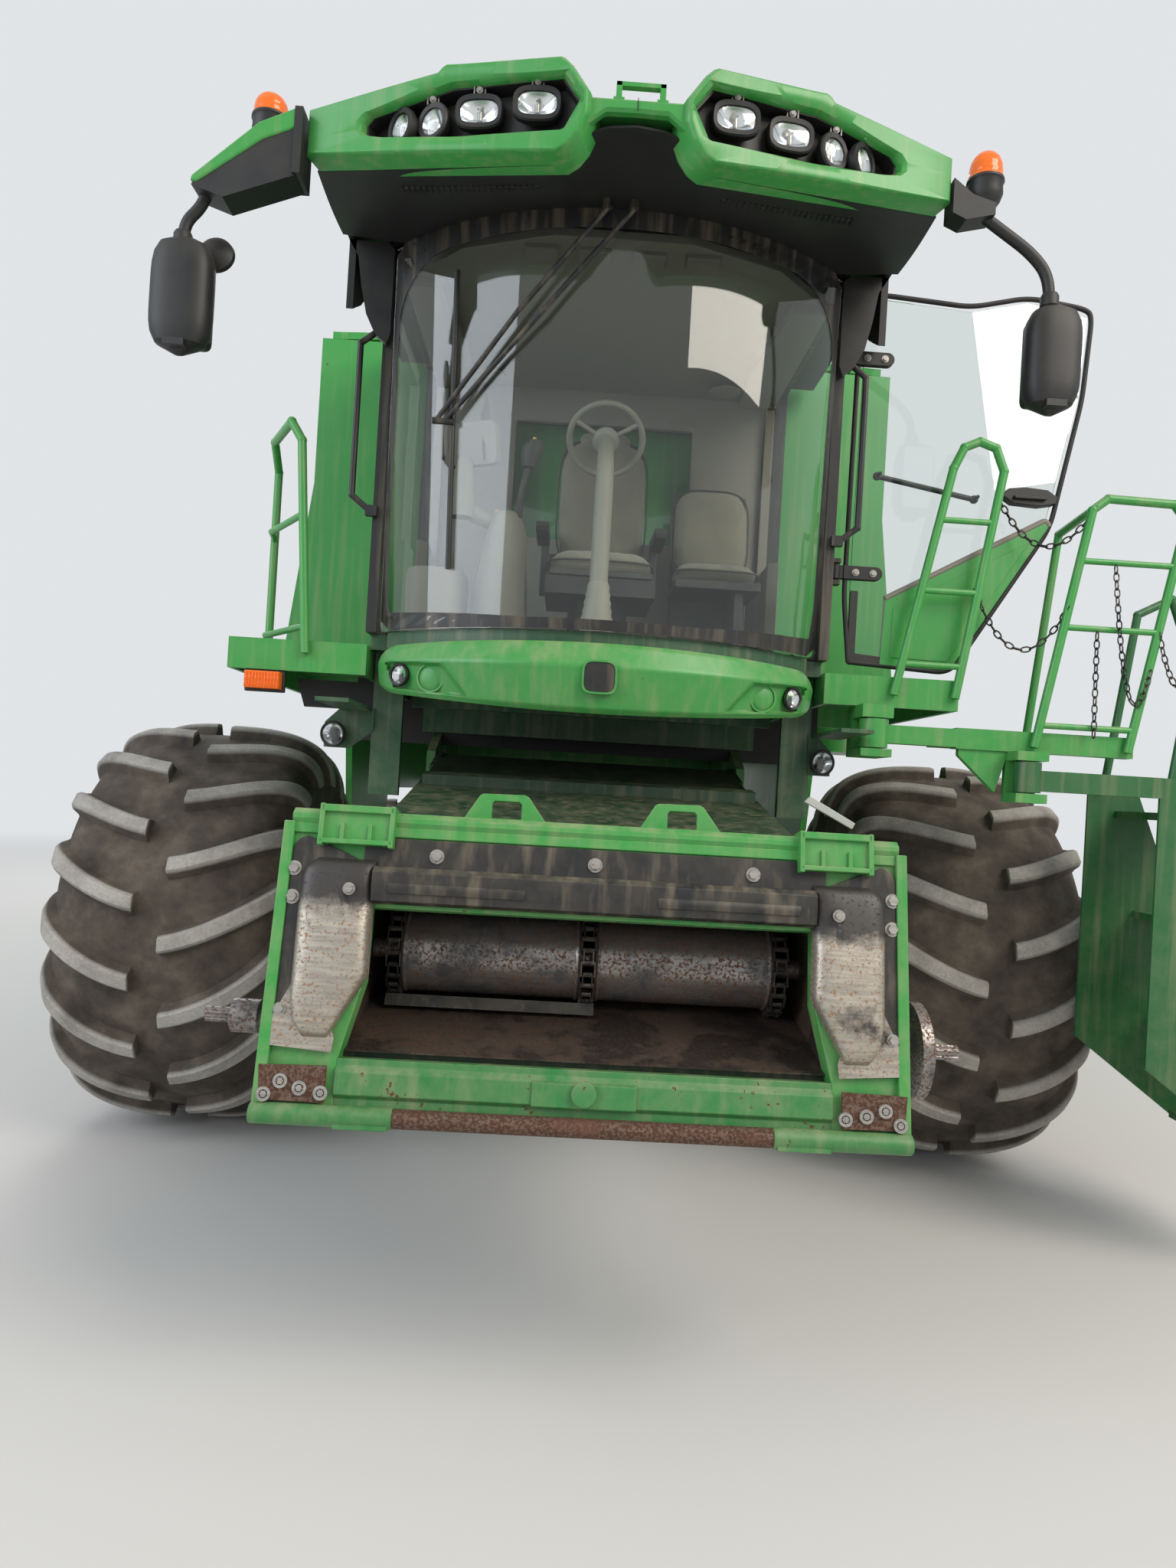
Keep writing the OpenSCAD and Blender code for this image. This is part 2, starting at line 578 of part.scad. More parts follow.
// Landing: a step below the left deck that swings on an upright pin, with its own rail
landing_z = 2090;
pivot2 = [1660, -1525];
landing_out = 2090;
module landing() color(green) in_frame() {
    difference() {
        union() {
            bar_z(pivot_z[0], pivot_z[1], pivot1[0], pivot1[1], 55);
            block([pivot1[0], pivot1[1] - 30, pivot_z[0] + 20], [1420, pivot1[1] + 30, pivot_z[1] - 20]);
        }
        bar_z(pivot_z[0] - 1, pivot_z[1] + 1, pivot1[0], pivot1[1], pivot_r + run);
    }
    // Front beam, platform frame and grating bars
    block([1399, -1480, 2010], [landing_out, -1420, landing_z]);
    block([1470, -1420, 2040], [landing_out, -960, landing_z]);
    // Gusset and the ladder's pivot bracket
    slab_y(-1470, -1440) polygon([[1413, 2010], [1760, 2010], [1700, 1985], [1600, 1985], [1560, 1850],
        [1413, 1985]]);
    for (z = [1975, 1815]) block([pivot2[0] - 60, pivot2[1] - 45, z], [pivot2[0] + 60, -1440, z + 35]);
    block([pivot2[0] - 60, -1470, 1815], [pivot2[0] + 60, -1440, 2010]);
    bar_z(1830, 1990, pivot2[0], pivot2[1], 28);
    // Rail on the front beam, leaning outward
    y = -1480 - tube_r;
    tube_path([[1694, y, 2030], [1871, y, 2958], [1929, y, 3005], [2190, y, 3000], [2240, y, 2940],
        [2058, y, 2030]], tube_r);
    for (z = [2117, 2500, 2760]) bar_x(1694 + (z - 2030) * 0.19, 2058 + (z - 2030) * 0.19, y, z, 12);
    tube_path([[1890, -985, 2060], [1990, -985, 3000], [1929, y, 3005]], tube_r);
}
// Ladder: two stringers with four steps, going down outward from the landing
ladder_in = 2170;
ladder_y = [-1540, -1000];
module ladder() color(green) in_frame() {
    difference() {
        union() {
            bar_z(1855, 1970, pivot2[0], pivot2[1], 50);
            block([pivot2[0], pivot2[1] - 30, 1862], [ladder_in, pivot2[1] + 24, 1940]);
        }
        bar_z(1850, 1975, pivot2[0], pivot2[1], 28 + run);
    }
    for (y = [ladder_y[0], ladder_y[1] - 12]) slab_y(y, y + 12)
        polygon([[ladder_in, 1940], [ladder_in + 200, 1940], [ladder_out, ladder_foot + 150],
            [ladder_out, ladder_foot],
                 [ladder_out - 250, ladder_foot], [ladder_in, 730 + 100]]);
    for (i = [0 : 3]) {
        k = i / 3;
        block([ladder_in + 120 + k * (ladder_out - ladder_in - 420), ladder_y[0] + 12,
            1780 - k * (1780 - ladder_foot - 20)],
              [ladder_in + 420 + k * (ladder_out - ladder_in - 420), ladder_y[1] - 12,
                  1810 - k * (1780 - ladder_foot - 20)]);
    }
    // Hand rails on both stringers
    for (y = [ladder_y[0] + 12 + tube_r, ladder_y[1] - 12 - tube_r])
        tube_path([[2226, y, 1900], [2333, y, 2662], [2480, y, 2740], [ladder_out - tube_r, y, 1700],
            [ladder_out - tube_r, y, ladder_foot + 100]], tube_r);
}

// Cab: floor pan, posts with the rear wall, roof, glass
screen_half = 850;
screen_mid_y = -1750;
module cab_floor() color(dark_green) in_frame() {
    slab_z(cab_floor_z - 60, cab_floor_z) {
        translate([-cab_half + 10, post_front + post_d])
            square([2 * (cab_half - 10), cab_back - post_front - post_d]);
        intersection() {
            translate([0, screen_mid_y + screen_r]) circle(screen_r - 20 - seat_gap, $fn = 96);
            translate([-screen_half + 30, screen_mid_y])
                square([2 * (screen_half - 30), post_front + post_d - screen_mid_y]);
        }
    }
    block([-600, -1100, cab_floor_z - 180], [600, cab_back, cab_floor_z - 60]);
}
door_axis = [925, -1345];
door_pin_r = 12;
strap_z = [2690, 3545];
strap_h = 30;
module cab_frame() color(black) in_frame() {
    both_sides() {
        // Front, middle and rear posts, sill and top rail
        block([cab_half - 40, post_front, cab_floor_z], [cab_half, post_front + post_d, cab_roof_z]);
        block([cab_half - 60, cab_back - 90, cab_floor_z], [cab_half, cab_back, cab_roof_z]);
        block([cab_half - 40, post_front + post_d, cab_roof_z - 60], [cab_half, cab_back - 90, cab_roof_z]);
        block([cab_half - 40, post_front + post_d, cab_floor_z],
            [cab_half, cab_back - 90, cab_floor_z + 30]);
        // Grab handle on the post
        tube_path([[cab_half + 10, post_front - 10, 3500], [cab_half + 80, post_front - 20, 3440],
                   [cab_half + 80, post_front - 20, 2850], [cab_half + 10, post_front - 10, 2795]], 12);
        for (z = [2795, 3500]) block([cab_half - 20, post_front - 26, z - 20],
            [cab_half + 24, post_front, z + 20]);
    }
    // Rear wall with its window cut
    difference() {
        block([-cab_half + 60, cab_back - 40, cab_floor_z], [cab_half - 60, cab_back, cab_roof_z]);
        block([-450, cab_back - 41, 3000], [450, cab_back + 1, 3600]);
    }
    // Door hinge ears and pins
    for (z = strap_z) {
        for (s = [-1, 1]) block([cab_half, door_axis[1] - 22, z + s * (strap_h + gap + 8) - 8],
                               [door_axis[0] + 18, door_axis[1] + 22, z + s * (strap_h + gap + 8) + 8]);
        bar_z(z - strap_h - gap - 4, z + strap_h + gap + 4, door_axis[0], door_axis[1], door_pin_r);
    }
}
module cab_glass() color(glass) in_frame() {
    // Side glass, opposite the door, and the rear window
    block([-cab_half + 10, post_front + post_d, cab_floor_z + 30],
        [-cab_half + 10 + glass_t, cab_back - 90, cab_roof_z - 60]);
    block([-450, cab_back - 24, 3000], [450, cab_back - 16, 3600]);
}
screen_foot = cab_floor_z;
module windscreen() color(glass) in_frame() intersection() {
    translate([0, screen_mid_y + screen_r, screen_foot - 2]) rotate([screen_lean, 0, 0])
        translate([0, 0, -40]) difference() {
            cylinder(h = screen_head - screen_foot + 80, r = screen_r, $fn = 96);
            translate([0, 0, -1]) cylinder(h = screen_head - screen_foot + 82, r = screen_r - glass_t,
                $fn = 96);
        }
    block([-screen_half, screen_mid_y - 200, screen_foot], [screen_half, post_front, screen_head]);
}
// Roof: a green shell on the black lining, which steps down behind the visor
lining_front = -1780;
lining_half = roof_half - 15;
lining_top = 3930;
lining_low = 3795;
screen_head = lining_low - seat_gap;
module cab_roof() color(green) in_frame() {
    slab_x(-roof_half, roof_half)
        polygon([[lining_front, lining_top], [lining_front, roof_top - 40], [-1200, roof_top - 10],
            [-700, roof_top - 20],
                 [cab_back - 20, roof_top - 70], [cab_back - 10, lining_top]]);
}
// Visor: two halves that turn back from the middle, each with a lamp recess
visor_in = [227, -2300];
visor_t = 130;
recess_d = 90;
module at_visor() translate([visor_in[0], visor_in[1], 0]) rotate([0, 0, visor_turn]) children();
module visor_half() intersection() {
    k = 1 / cos(visor_turn);
    x0 = visor_in[0];
    out = (roof_half + 200 - x0) * k;
    at_visor() difference() {
        slab_y(0, 900) polygon([[-60, 3850], [0, 3979], [(604 - x0) * k, 4008], [(629 - x0) * k, 3990],
            [(roof_half - x0) * k, 3919], [out, 3900], [out, 3770], [(roof_half - x0) * k, 3775],
                [0, 3690], [-60, 3760]]);
        slab_y(-1, recess_d) polygon([[30, 3930], [(590 - x0) * k, 3950], [(868 - x0) * k, 3880],
            [(868 - x0) * k, 3815],
            [30, 3762], [-20, 3855]]);
        slab_y(visor_t, 901) polygon([[-61, 3600], [out + 1, 3600], [out + 1, lining_top + seat_gap],
            [-61, lining_top + seat_gap]]);
    }
    block([visor_in[0] - 200, -2500, 3500], [roof_half, lining_front - seat_gap, 4200]);
}
hoop_half = 66;
hoop_top = 3922;
module roof_visor() color(green) in_frame() {
    both_sides() visor_half();
    block([-172, -2290, 3800], [172, -2240, 3863]);
    block([-172, -2290, 3840], [172, lining_front - seat_gap, 3863 + 20]);
    // Lifting hoop over the middle
    for (x = [-hoop_half, hoop_half]) block([x - 10, -2280, 3863], [x + 10, -2250, hoop_top]);
    block([-hoop_half - 10, -2280, hoop_top - 18], [hoop_half + 10, -2250, hoop_top]);
}
module roof_lining() color(black) in_frame() {
    // Visor's back plane carried to the middle, as seen from above
    back_mid = visor_in[1] + visor_t / cos(visor_turn) - visor_in[0] * tan(visor_turn) + 20;
    back_end = back_mid + lining_half * tan(visor_turn);
    difference() {
        slab_z(lining_low, lining_top) polygon([[0, back_mid], [lining_half, back_end],
            [lining_half, lining_front + 130],
            [-lining_half, lining_front + 130], [-lining_half, back_end]]);
        // Room for the visor's middle bridge
        block([-173, -2500, 3839], [173, lining_front - 0.1, lining_top + 1]);
    }
    block([-lining_half, lining_front + 130, cab_roof_z + seat_gap],
        [lining_half, cab_back - 20, lining_top]);
    both_sides() block([lining_half - 20, lining_front + 130, 3830],
        [lining_half, -1150, cab_roof_z + seat_gap]);
}
// Four lamps in each recess
// X, z, half width, half height
lamp_table = [[270, 3866, 55, 30], [390, 3862, 55, 30], [540, 3852, 30, 34], [640, 3846, 30, 34]];
module work_lamps() color(lens) in_frame() both_sides() at_visor()
    for (l = lamp_table) slab_y(25, recess_d - seat_gap)
        for (s = [-1, 1]) translate([l[0] - 150 + s * (l[2] - l[3]), l[1]]) circle(l[3]);
// A place on a ring about the windscreen's axis: sine of its angle, radius and height
module at_screen(k, r, z) translate([0, screen_mid_y + screen_r, z]) rotate([0, 0, asin(k) - 90])
    translate([r, 0, 0]) children();
// Nose panel below the windscreen, curved with it
module nose_ring(r0, r1, z0, z1) intersection() {
    translate([0, screen_mid_y + screen_r, z0]) difference() {
        cylinder(h = z1 - z0, r = r1, $fn = 96);
        translate([0, 0, -1]) cylinder(h = z1 - z0 + 2, r = r0, $fn = 96);
    }
    block([-860, screen_mid_y - 100, z0 - 1], [860, post_front - 10, z1 + 1]);
}
module nose_panel() color(green) in_frame() {
    nose_ring(screen_r - 20, screen_r + 30, 2190, cab_floor_z - 0.5);
    nose_ring(screen_r - 20, screen_r + 10, 2050, 2190);
    // Blank badge plate
    block([-62, screen_mid_y - 36, 2094], [62, screen_mid_y - 8, 2214]);
}
module nose_lamps() color(lens) in_frame() {
    both_sides() {
        for (l = [[740, 38], [612, 52]]) at_screen(l[0] / screen_r, screen_r + 10 + seat_gap, 2120)
            rotate([0, 90, 0])
            cylinder(h = 30, r = l[1]);
    }
    for (x = [-round_lamp_x[0], round_lamp_x[1]]) bar_y(-1310, lamp_arm_y - seat_gap, x, 1930, 50);
    block([-1357, deck_front - 30, 2076], [-1210, deck_front + 40, deck_top - deck_t - seat_gap]);
}
// Frame under the cab: posts, shelves, lamp arms and the dark back plate
lamp_arm_y = -1250;
round_lamp_x = [1030, 930];
module cab_support() color(green) in_frame() {
    both_sides() {
        block([770, -1240, 1700], [890, -1200, cab_floor_z - 180]);
        block([770, -1240, cab_floor_z - 180], [890, -900, cab_floor_z - 60]);
        block([890, -1700, 2030], [1010, lamp_arm_y, 2045]);
    }
    for (s = [0, 1]) mirror([1 - s, 0, 0]) slab_y(lamp_arm_y, lamp_arm_y + 50)
        polygon([[880, 2045], [880, 1960], [round_lamp_x[s] - 45, 1880], [round_lamp_x[s] + 45, 1880],
                 [round_lamp_x[s] + 45, 1980], [round_lamp_x[s] - 20, 2045]]);
    block([-770, -1000, 2080], [770, -960, cab_floor_z - 180]);
    block([-770, -640, 1995], [770, -620, cab_floor_z - 180]);
}
// Operator's place
seat_y = -900;
module seat_base() color(black) in_frame() {
    bar_z(cab_floor_z, cab_floor_z + 250, 0, seat_y, 130);
    block([-230, seat_y - 230, cab_floor_z + 250], [230, seat_y + 230, cab_floor_z + 330]);
    block([-230, seat_y + 160, cab_floor_z + 330], [230, seat_y + 200, cab_floor_z + 500]);
}
module seat_cushions() color(cloth) in_frame() {
    block([-240, seat_y - 250, cab_floor_z + 330.3], [240, seat_y + 150, cab_floor_z + 450]);
    translate([0, seat_y + 200 + seat_gap, cab_floor_z + 350]) rotate([-10, 0, 0])
        block([-230, 0, 0], [230, 110, 760]);
}
column_r = 36;
column_reach = 230;
wheel_lean = 50;
wheel_mid = [-15, -1300, 3170];
module steering_column() color(black) in_frame() {
    elbow = wheel_mid - column_reach * [0, sin(wheel_lean), cos(wheel_lean)];
    bar_z(cab_floor_z, cab_floor_z + 60, elbow[0], elbow[1], 70);
    tube_path([[elbow[0], elbow[1], cab_floor_z + 40], elbow, wheel_mid], column_r);
    translate(wheel_mid) rotate([-wheel_lean, 0, 0]) {
        rotate_extrude() polygon([[140, -6], [152, -12], [162, -6], [162, 6], [152, 12], [140, 6]]);
        for (a = [90 : 120 : 330]) rotate([0, 0, a]) block([0, -12, -4], [148, 12, 4]);
        translate([0, 0, -40]) cylinder(h = 70, r = 56);
    }
}
module control_console() color(black) in_frame() {
    block([-560, seat_y - 300, cab_floor_z], [-300, seat_y + 350, cab_floor_z + 560]);
    block([-480, seat_y - 360, cab_floor_z + 560], [-360, seat_y + 100, cab_floor_z + 620]);
    bar_z(cab_floor_z + 620, cab_floor_z + 760, -420, seat_y - 300, 20);
    block([-500, seat_y - 330, cab_floor_z + 760], [-340, seat_y - 290, cab_floor_z + 900]);
}
// Height-dependent face of the windscreen at a sideways place
function screen_y(x,
    z) = screen_mid_y + screen_r - sqrt(screen_r * screen_r - x * x) - (z - screen_foot) * sin(screen_lean);
module wipers() color(black) in_frame() {
    elbow = [-643, screen_y(-643, 3068) - 62, 3068];
    blade_top = [-594, screen_y(-594, 3607) - 16, 3607];
    blade_foot = [-572, screen_y(-572, 2543) - 16, 2543];
    for (x = [-70, 20]) {
        tube_path([[x, screen_y(x, 3750) - 60, 3750], [x - 290, screen_y(x - 290, 3420) - 45, 3420],
            elbow + [x + 70, 0, 0] / 3], 9);
        bar_z(3750, lining_low - seat_gap, x, screen_y(x, 3750) - 60, 16);
    }
    bar_x(elbow[0] - 12, blade_top[0] + 17, elbow[1], elbow[2], 12);
    stick(blade_top, blade_foot, 10);
}
// Mirrors: box arm and tube on the right side, plain tube on the left
module mirror_head(x, y, z0, z1) translate([x, y, z0]) rotate_extrude()
    polygon([[0, 0], [45, 0], [72, 25], [78, 60], [78, z1 - z0 - 60], [72, z1 - z0 - 25], [45, z1 - z0],
        [0, z1 - z0]]);
mirror_y = -2012;
module mirrors() color(black) in_frame() {
    slab_y(mirror_y - 30, mirror_y + 30) polygon([[-roof_half - seat_gap, 3884],
        [-roof_half - seat_gap, 3790], [-1385, 3660], [-1385, 3720], [-1205, 3884]]);
    tube_path([[-1340, mirror_y, 3690], [-1400, mirror_y, 3560], [-1380, mirror_y, 3410]], 20);
    mirror_head(-1380, mirror_y, 3020, 3420);
    block([roof_half + seat_gap, mirror_y - 30, 3790], [1210, mirror_y + 30, 3850]);
    tube_path([[1190, mirror_y, 3820], [1330, mirror_y, 3600], [1352, mirror_y, 3410]], 20);
    mirror_head(1352, mirror_y, 3020, 3420);
}
module beacons() color(amber) in_frame() {
    for (b = [[-1138, 3884], [1140, 3850]]) translate([b[0], mirror_y, b[1] + seat_gap]) rotate_extrude()
        polygon([[0, 0], [60, 0], [60, 60], [52, 60], [50, 150], [36, 185], [0, 200]]);
}
// Door, drawn open: pressed lower panel, rubber-edged frame, straps on the hinge pins
door_t = 30;
door_edge = [[65, 2330], [484, 2310], [857, 2918], [960, 3441], [983, 3780], [960, 3815], [717, 3845],
    [486, 3790],
             [118, 3815], [40, 3790], [35, 2600]];
door_pane = [[95, 2620], [95, 2370], [195, 2362], [200, 2600], [835, 2955], [935, 3445], [955, 3775],
             [717, 3818], [486, 3763], [118, 3788], [68, 3768], [63, 2620]];
// Outline in X-Z from points measured from the hinge pin
module door_outline(edge) polygon([for (p = edge) [door_axis[0] + p[0], p[1]]]);
door_y = door_axis[1] - door_t / 2;
module door_frame() color(black) in_frame() {
    difference() {
        slab_y(door_y, door_y + door_t) door_outline(door_edge);
        slab_y(door_y - 1, door_y + door_t + 1) door_outline(door_pane);
    }
    for (z = strap_z) difference() {
        union() {
            bar_z(z - strap_h, z + strap_h, door_axis[0], door_axis[1], 20);
            block([door_axis[0], door_axis[1] - 15, z - strap_h],
                [door_axis[0] + 60, door_axis[1] + 15, z + strap_h]);
        }
        bar_z(z - strap_h - 1, z + strap_h + 1, door_axis[0], door_axis[1], door_pin_r + run);
    }
}
module door_glass() color(glass) in_frame()
    slab_y(door_axis[1] - glass_t / 2, door_axis[1] + glass_t / 2) door_outline(door_pane);

// Unloading auger: upright elbow at the tank's left front, tube folded back beside the tank
auger_y = 420;
auger_joint_z = 2480;
auger_spigot_r = 110;
module auger_base() color(green) in_frame() {
    bar_z(2060, auger_joint_z, auger_x, auger_y, auger_r + 15);
    bar_z(auger_joint_z, auger_joint_z + 80, auger_x, auger_y, auger_spigot_r);
    block([body_half, auger_y - 120, 2100], [auger_x - auger_r, auger_y + 120, 2300]);
}
module unloading_auger() color(green) in_frame() {
    difference() {
        bar_z(auger_joint_z + gap, auger_z, auger_x, auger_y, auger_r);
        bar_z(auger_joint_z, auger_joint_z + 80 + gap, auger_x, auger_y, auger_spigot_r + run);
    }
    translate([auger_x, auger_y, auger_z]) sphere(auger_r, $fn = 64);
    bar_y(auger_y, tail_reach - 320, auger_x, auger_z, auger_r);
    // Spout
    bar_y(tail_reach - 320, tail_reach, auger_x, auger_z, auger_r + 20);
    bar_z(auger_z - 420, auger_z, auger_x, tail_reach - 200, auger_r - 15);
}

// Feeder house: a sloping tunnel, its face, covers, drum, chain and drive
module on_face() translate([0, -bar_y, bar_z]) rotate([-face_lean, 0, 0]) children();
face_top = 812;
mouth_z = [146, 547];
// Holes of the header's latches at each lower corner: sideways place and height on the face
latch_holes = [[691, 57], [747, 67], [798, 83], [838, 48]];
latch_r = 19;
// The face's foot edge, and how much its sides draw in towards the top
face_foot = -20;
face_taper = 4;
beam_h = 40;
function face_edge(z) = face_half - face_taper * (z - face_foot) / (face_top - beam_h - face_foot);
module face_band(z0, z1) slab_y(0, face_depth)
    polygon([[-face_edge(z0), z0], [face_edge(z0), z0], [face_edge(z1), z1], [-face_edge(z1), z1]]);
module feeder_face() color(green) in_frame() on_face() {
    difference() {
        face_band(mouth_z[0] + seat_gap, face_top - beam_h);
        slab_y(-1, face_depth + 1) polygon([
            [-mouth_half, mouth_z[0]], [mouth_half, mouth_z[0]], [mouth_top_half, mouth_z[0] + 200],
            [mouth_top_half, mouth_z[1]], [-mouth_top_half, mouth_z[1]],
                [-mouth_top_half, mouth_z[0] + 200]]);
    }
    block([-845, 10, face_top - beam_h], [825, face_depth, face_top]);
    both_sides() {
        block([563, -30, face_top - 100], [762, 10, face_top + 8]);
        // Lifting lugs behind the top beam
        translate([0, face_depth - 30, face_top]) slab_y(0, 14)
            polygon([[115, 0], [371, 0], [320, 75], [180, 75]]);
    }
}
// Lower beam under the mouth, with the latch holes in its ends and the round bar at its foot
module feeder_sill() color(green) in_frame() on_face() {
    difference() {
        face_band(face_foot, mouth_z[0]);
        for (p = latch_holes, s = [-1, 1]) bar_y(-1, face_depth + 1, s * p[0], p[1], latch_r);
    }
    bar_x(-face_half, face_half, 0, 0, bar_r);
}
// Worn side covers, black bolt plates and the cross shield
module feeder_covers() color(worn_steel) in_frame() on_face() {
    both_sides() {
        slab_y(-4.3, -0.3) polygon([[640, 130], [850, 130], [850, 700], [640, 700]]);
        slab_y(-30, -4.3) polygon([[mouth_top_half, 340], [680, 180], [800, 180], [800, 670],
            [mouth_top_half, 670]]);
    }
    block([-mouth_top_half, -40, 560], [mouth_top_half, -0.3, 660]);
}
drum_at = [-2200, 1245];
rear_shaft_at = [-700, 1600];
floor_line = [[-2560, 1000], [feeder_back, 1340]];
roof_line = [[feeder_back, 1900], [-2460, 1560]];
roof_slope = (roof_line[1][1] - roof_line[0][1]) / (roof_line[1][0] - roof_line[0][0]);
function roof_at(y) = roof_line[0][1] + (y - roof_line[0][0]) * roof_slope;
module feeder_housing() color(green) in_frame() {
    difference() {
        slab_x(-mouth_half - feeder_wall, mouth_half + feeder_wall)
            polygon(concat(floor_line, roof_line));
        slab_x(-mouth_half, mouth_half)
            polygon([[-2600, 1000 + feeder_wall], [feeder_back + 1, 1340 + feeder_wall],
                [feeder_back + 1, 1900 - feeder_wall],
                     [-2500, 1560 - feeder_wall]]);
        // The face's back plane
        on_face() block([-1000, -400, -300], [1000, face_depth, 1000]);
    }
    both_sides() {
        // Pivot ear
        difference() {
            slab_x(mouth_half + feeder_wall, mouth_half + feeder_wall + ear_t)
                polygon([[-760, 1400], [feeder_back, 1500], [feeder_pivot_y + 70, feeder_pivot_z - 40],
                         [feeder_pivot_y + 70, feeder_pivot_z + 60],
                             [feeder_pivot_y - 60, feeder_pivot_z + 90], [-760, 1840]]);
            bar_x(mouth_half, body_half, feeder_pivot_y, feeder_pivot_z, feeder_pin_r + run);
        }
        // Ears for the lift rod's eye
        for (s = [-1, 1]) slab_x(lift_x + s * 62 - 10, lift_x + s * 62 + 10)
            polygon([[lift_eye[0] - 90, 1150], [lift_eye[0] + 90, 1178],
                [lift_eye[0] + 50, lift_eye[1] - 50],
                     [lift_eye[0] - 50, lift_eye[1] - 50]]);
    }
    // Stiffening channel across the top
    slab_x(-mouth_half, mouth_half) polygon([for (q = [[-1340, -5], [-1260, -5], [-1260, 40],
        [-1340, 40]]) [q[0], roof_at(q[0]) + q[1]]]);
}
module feeder_drum() color(grey_steel) in_frame() {
    bar_x(-600, 600, drum_at[0], drum_at[1], drum_r);
    bar_x(-mouth_half, mouth_half, drum_at[0], drum_at[1], 30);
    // Header drive: shafts across the feeder's underside, hubs and splined ends
    both_sides() {
        bar_x(mouth_half + feeder_wall, 1019, -2400, 1060, 35);
        bar_x(1019, 1091, -2400, 1060, spline_r);
    }
    bar_x(930, 990, -2400, 1060, 140);
}
chain_r = drum_r + 22;
chain_x = [-575, 0, 575];
chain_t = 14;
module chain_loop(r) hull() {
    translate(drum_at) circle(r, $fn = 16);
    translate(rear_shaft_at) circle(r - 30, $fn = 12);
}
module feeder_chain() color(black) in_frame() {
    for (x = chain_x) slab_x(x - 22, x + 22) difference() {
        chain_loop(chain_r);
        chain_loop(chain_r - chain_t);
    }
}

// Lift cylinders, opened at the rod's eye
lift_len = norm([lift_eye[0] - lift_base[0], lift_eye[1] - lift_base[1]]);
lift_rise = atan2(lift_eye[1] - lift_base[1], -(lift_eye[0] - lift_base[0]));
barrel_len = 900;
barrel_r = 70;
rod_r = 45;
// Local X runs from the base pin to the rod's eye
module on_lift(x) translate([x, lift_base[0], lift_base[1]]) rotate([0, 0, -90]) rotate([0, -lift_rise, 0])
    children();
module lift_barrel() on_lift(0) difference() {
    union() {
        rotate([0, 90, 0]) cylinder(h = barrel_len, r = barrel_r);
        rotate([90, 0, 0]) translate([0, 0, -40]) cylinder(h = 80, r = 60);
    }
    rotate([90, 0, 0]) translate([0, 0, -81]) cylinder(h = 162, r = lift_pin_r + run);
    translate([160, 0, 0]) rotate([0, 90, 0]) cylinder(h = barrel_len, r = rod_r + run);
}
module lift_barrels() color(black) in_frame() both_sides() translate([lift_x, 0, 0]) lift_barrel();
module lift_rod() on_lift(0) {
    translate([640, 0, 0]) rotate([0, 90, 0]) cylinder(h = lift_len - 640 - 30, r = rod_r);
    rotate([90, 0, 0]) translate([lift_len, 0, -35]) cylinder(h = 70, r = 48);
}
module lift_rods() color(lens) in_frame() both_sides() translate([lift_x, 0, 0]) lift_rod();

main_frame();
front_axle();
separator_body();
grain_tank();
side_panels();
rear_hood();
engine();
cooling_screen();
exhaust();
fuel_tank();
chopper();
deck_left();
deck_right();
cab_floor();
cab_frame();
cab_roof();
roof_visor();
roof_lining();
work_lamps();
windscreen();
cab_glass();
nose_panel();
nose_lamps();
cab_support();
seat_base();
seat_cushions();
steering_column();
control_console();
wipers();
mirrors();
beacons();
auger_base();
rear_axle();
rear_steps();
feeder_housing();
feeder_face();
feeder_sill();
feeder_covers();
feeder_drum();
feeder_chain();
lift_barrels();
lift_rods();
door_frame();
door_glass();
landing();
ladder();
tank_cover_left();
tank_cover_right();
unloading_auger();
tailboard();
knuckle_left();
knuckle_right();
front_tyre_left();
front_tyre_right();
front_rim_left();
front_rim_right();
rear_tyre_left();
rear_tyre_right();
rear_rim_left();
rear_rim_right();
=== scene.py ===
# %% [markdown]
# # A combine harvester without its header
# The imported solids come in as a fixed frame: big front wheels, feeder house, cab, grain tank
# and the long body behind. This lesson dresses that frame with detailed pieces and with
# materials worked out from noise and from real sizes in millimetres.

# %% Load the frame
import bpy
import math
import numpy as np
import bmesh
from mathutils import Matrix, Vector


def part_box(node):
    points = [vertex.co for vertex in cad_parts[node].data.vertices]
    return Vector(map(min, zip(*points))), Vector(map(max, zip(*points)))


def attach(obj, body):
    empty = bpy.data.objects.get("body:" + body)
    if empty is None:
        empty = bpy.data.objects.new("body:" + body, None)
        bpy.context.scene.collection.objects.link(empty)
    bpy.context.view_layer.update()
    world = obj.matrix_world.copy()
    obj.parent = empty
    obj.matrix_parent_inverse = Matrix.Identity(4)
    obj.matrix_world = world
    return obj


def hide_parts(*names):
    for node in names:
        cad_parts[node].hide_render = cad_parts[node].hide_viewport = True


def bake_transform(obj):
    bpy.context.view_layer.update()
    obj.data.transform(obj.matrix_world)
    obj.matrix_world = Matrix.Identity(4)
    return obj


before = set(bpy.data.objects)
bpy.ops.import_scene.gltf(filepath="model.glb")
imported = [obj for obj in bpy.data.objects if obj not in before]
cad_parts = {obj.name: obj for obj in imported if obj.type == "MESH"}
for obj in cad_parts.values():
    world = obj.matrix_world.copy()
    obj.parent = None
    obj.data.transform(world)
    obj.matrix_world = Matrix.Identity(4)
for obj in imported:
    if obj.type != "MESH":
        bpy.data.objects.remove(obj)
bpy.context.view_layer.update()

# %% [markdown]
# ## Where things are
# Sizes are read in millimetres from the middle of the front axle, as on a drawing. The packed
# frame has its origin under the middle of the whole machine, so one shift turns a drawing
# place into a frame place. It is found from the box of a front wheel and the axle.

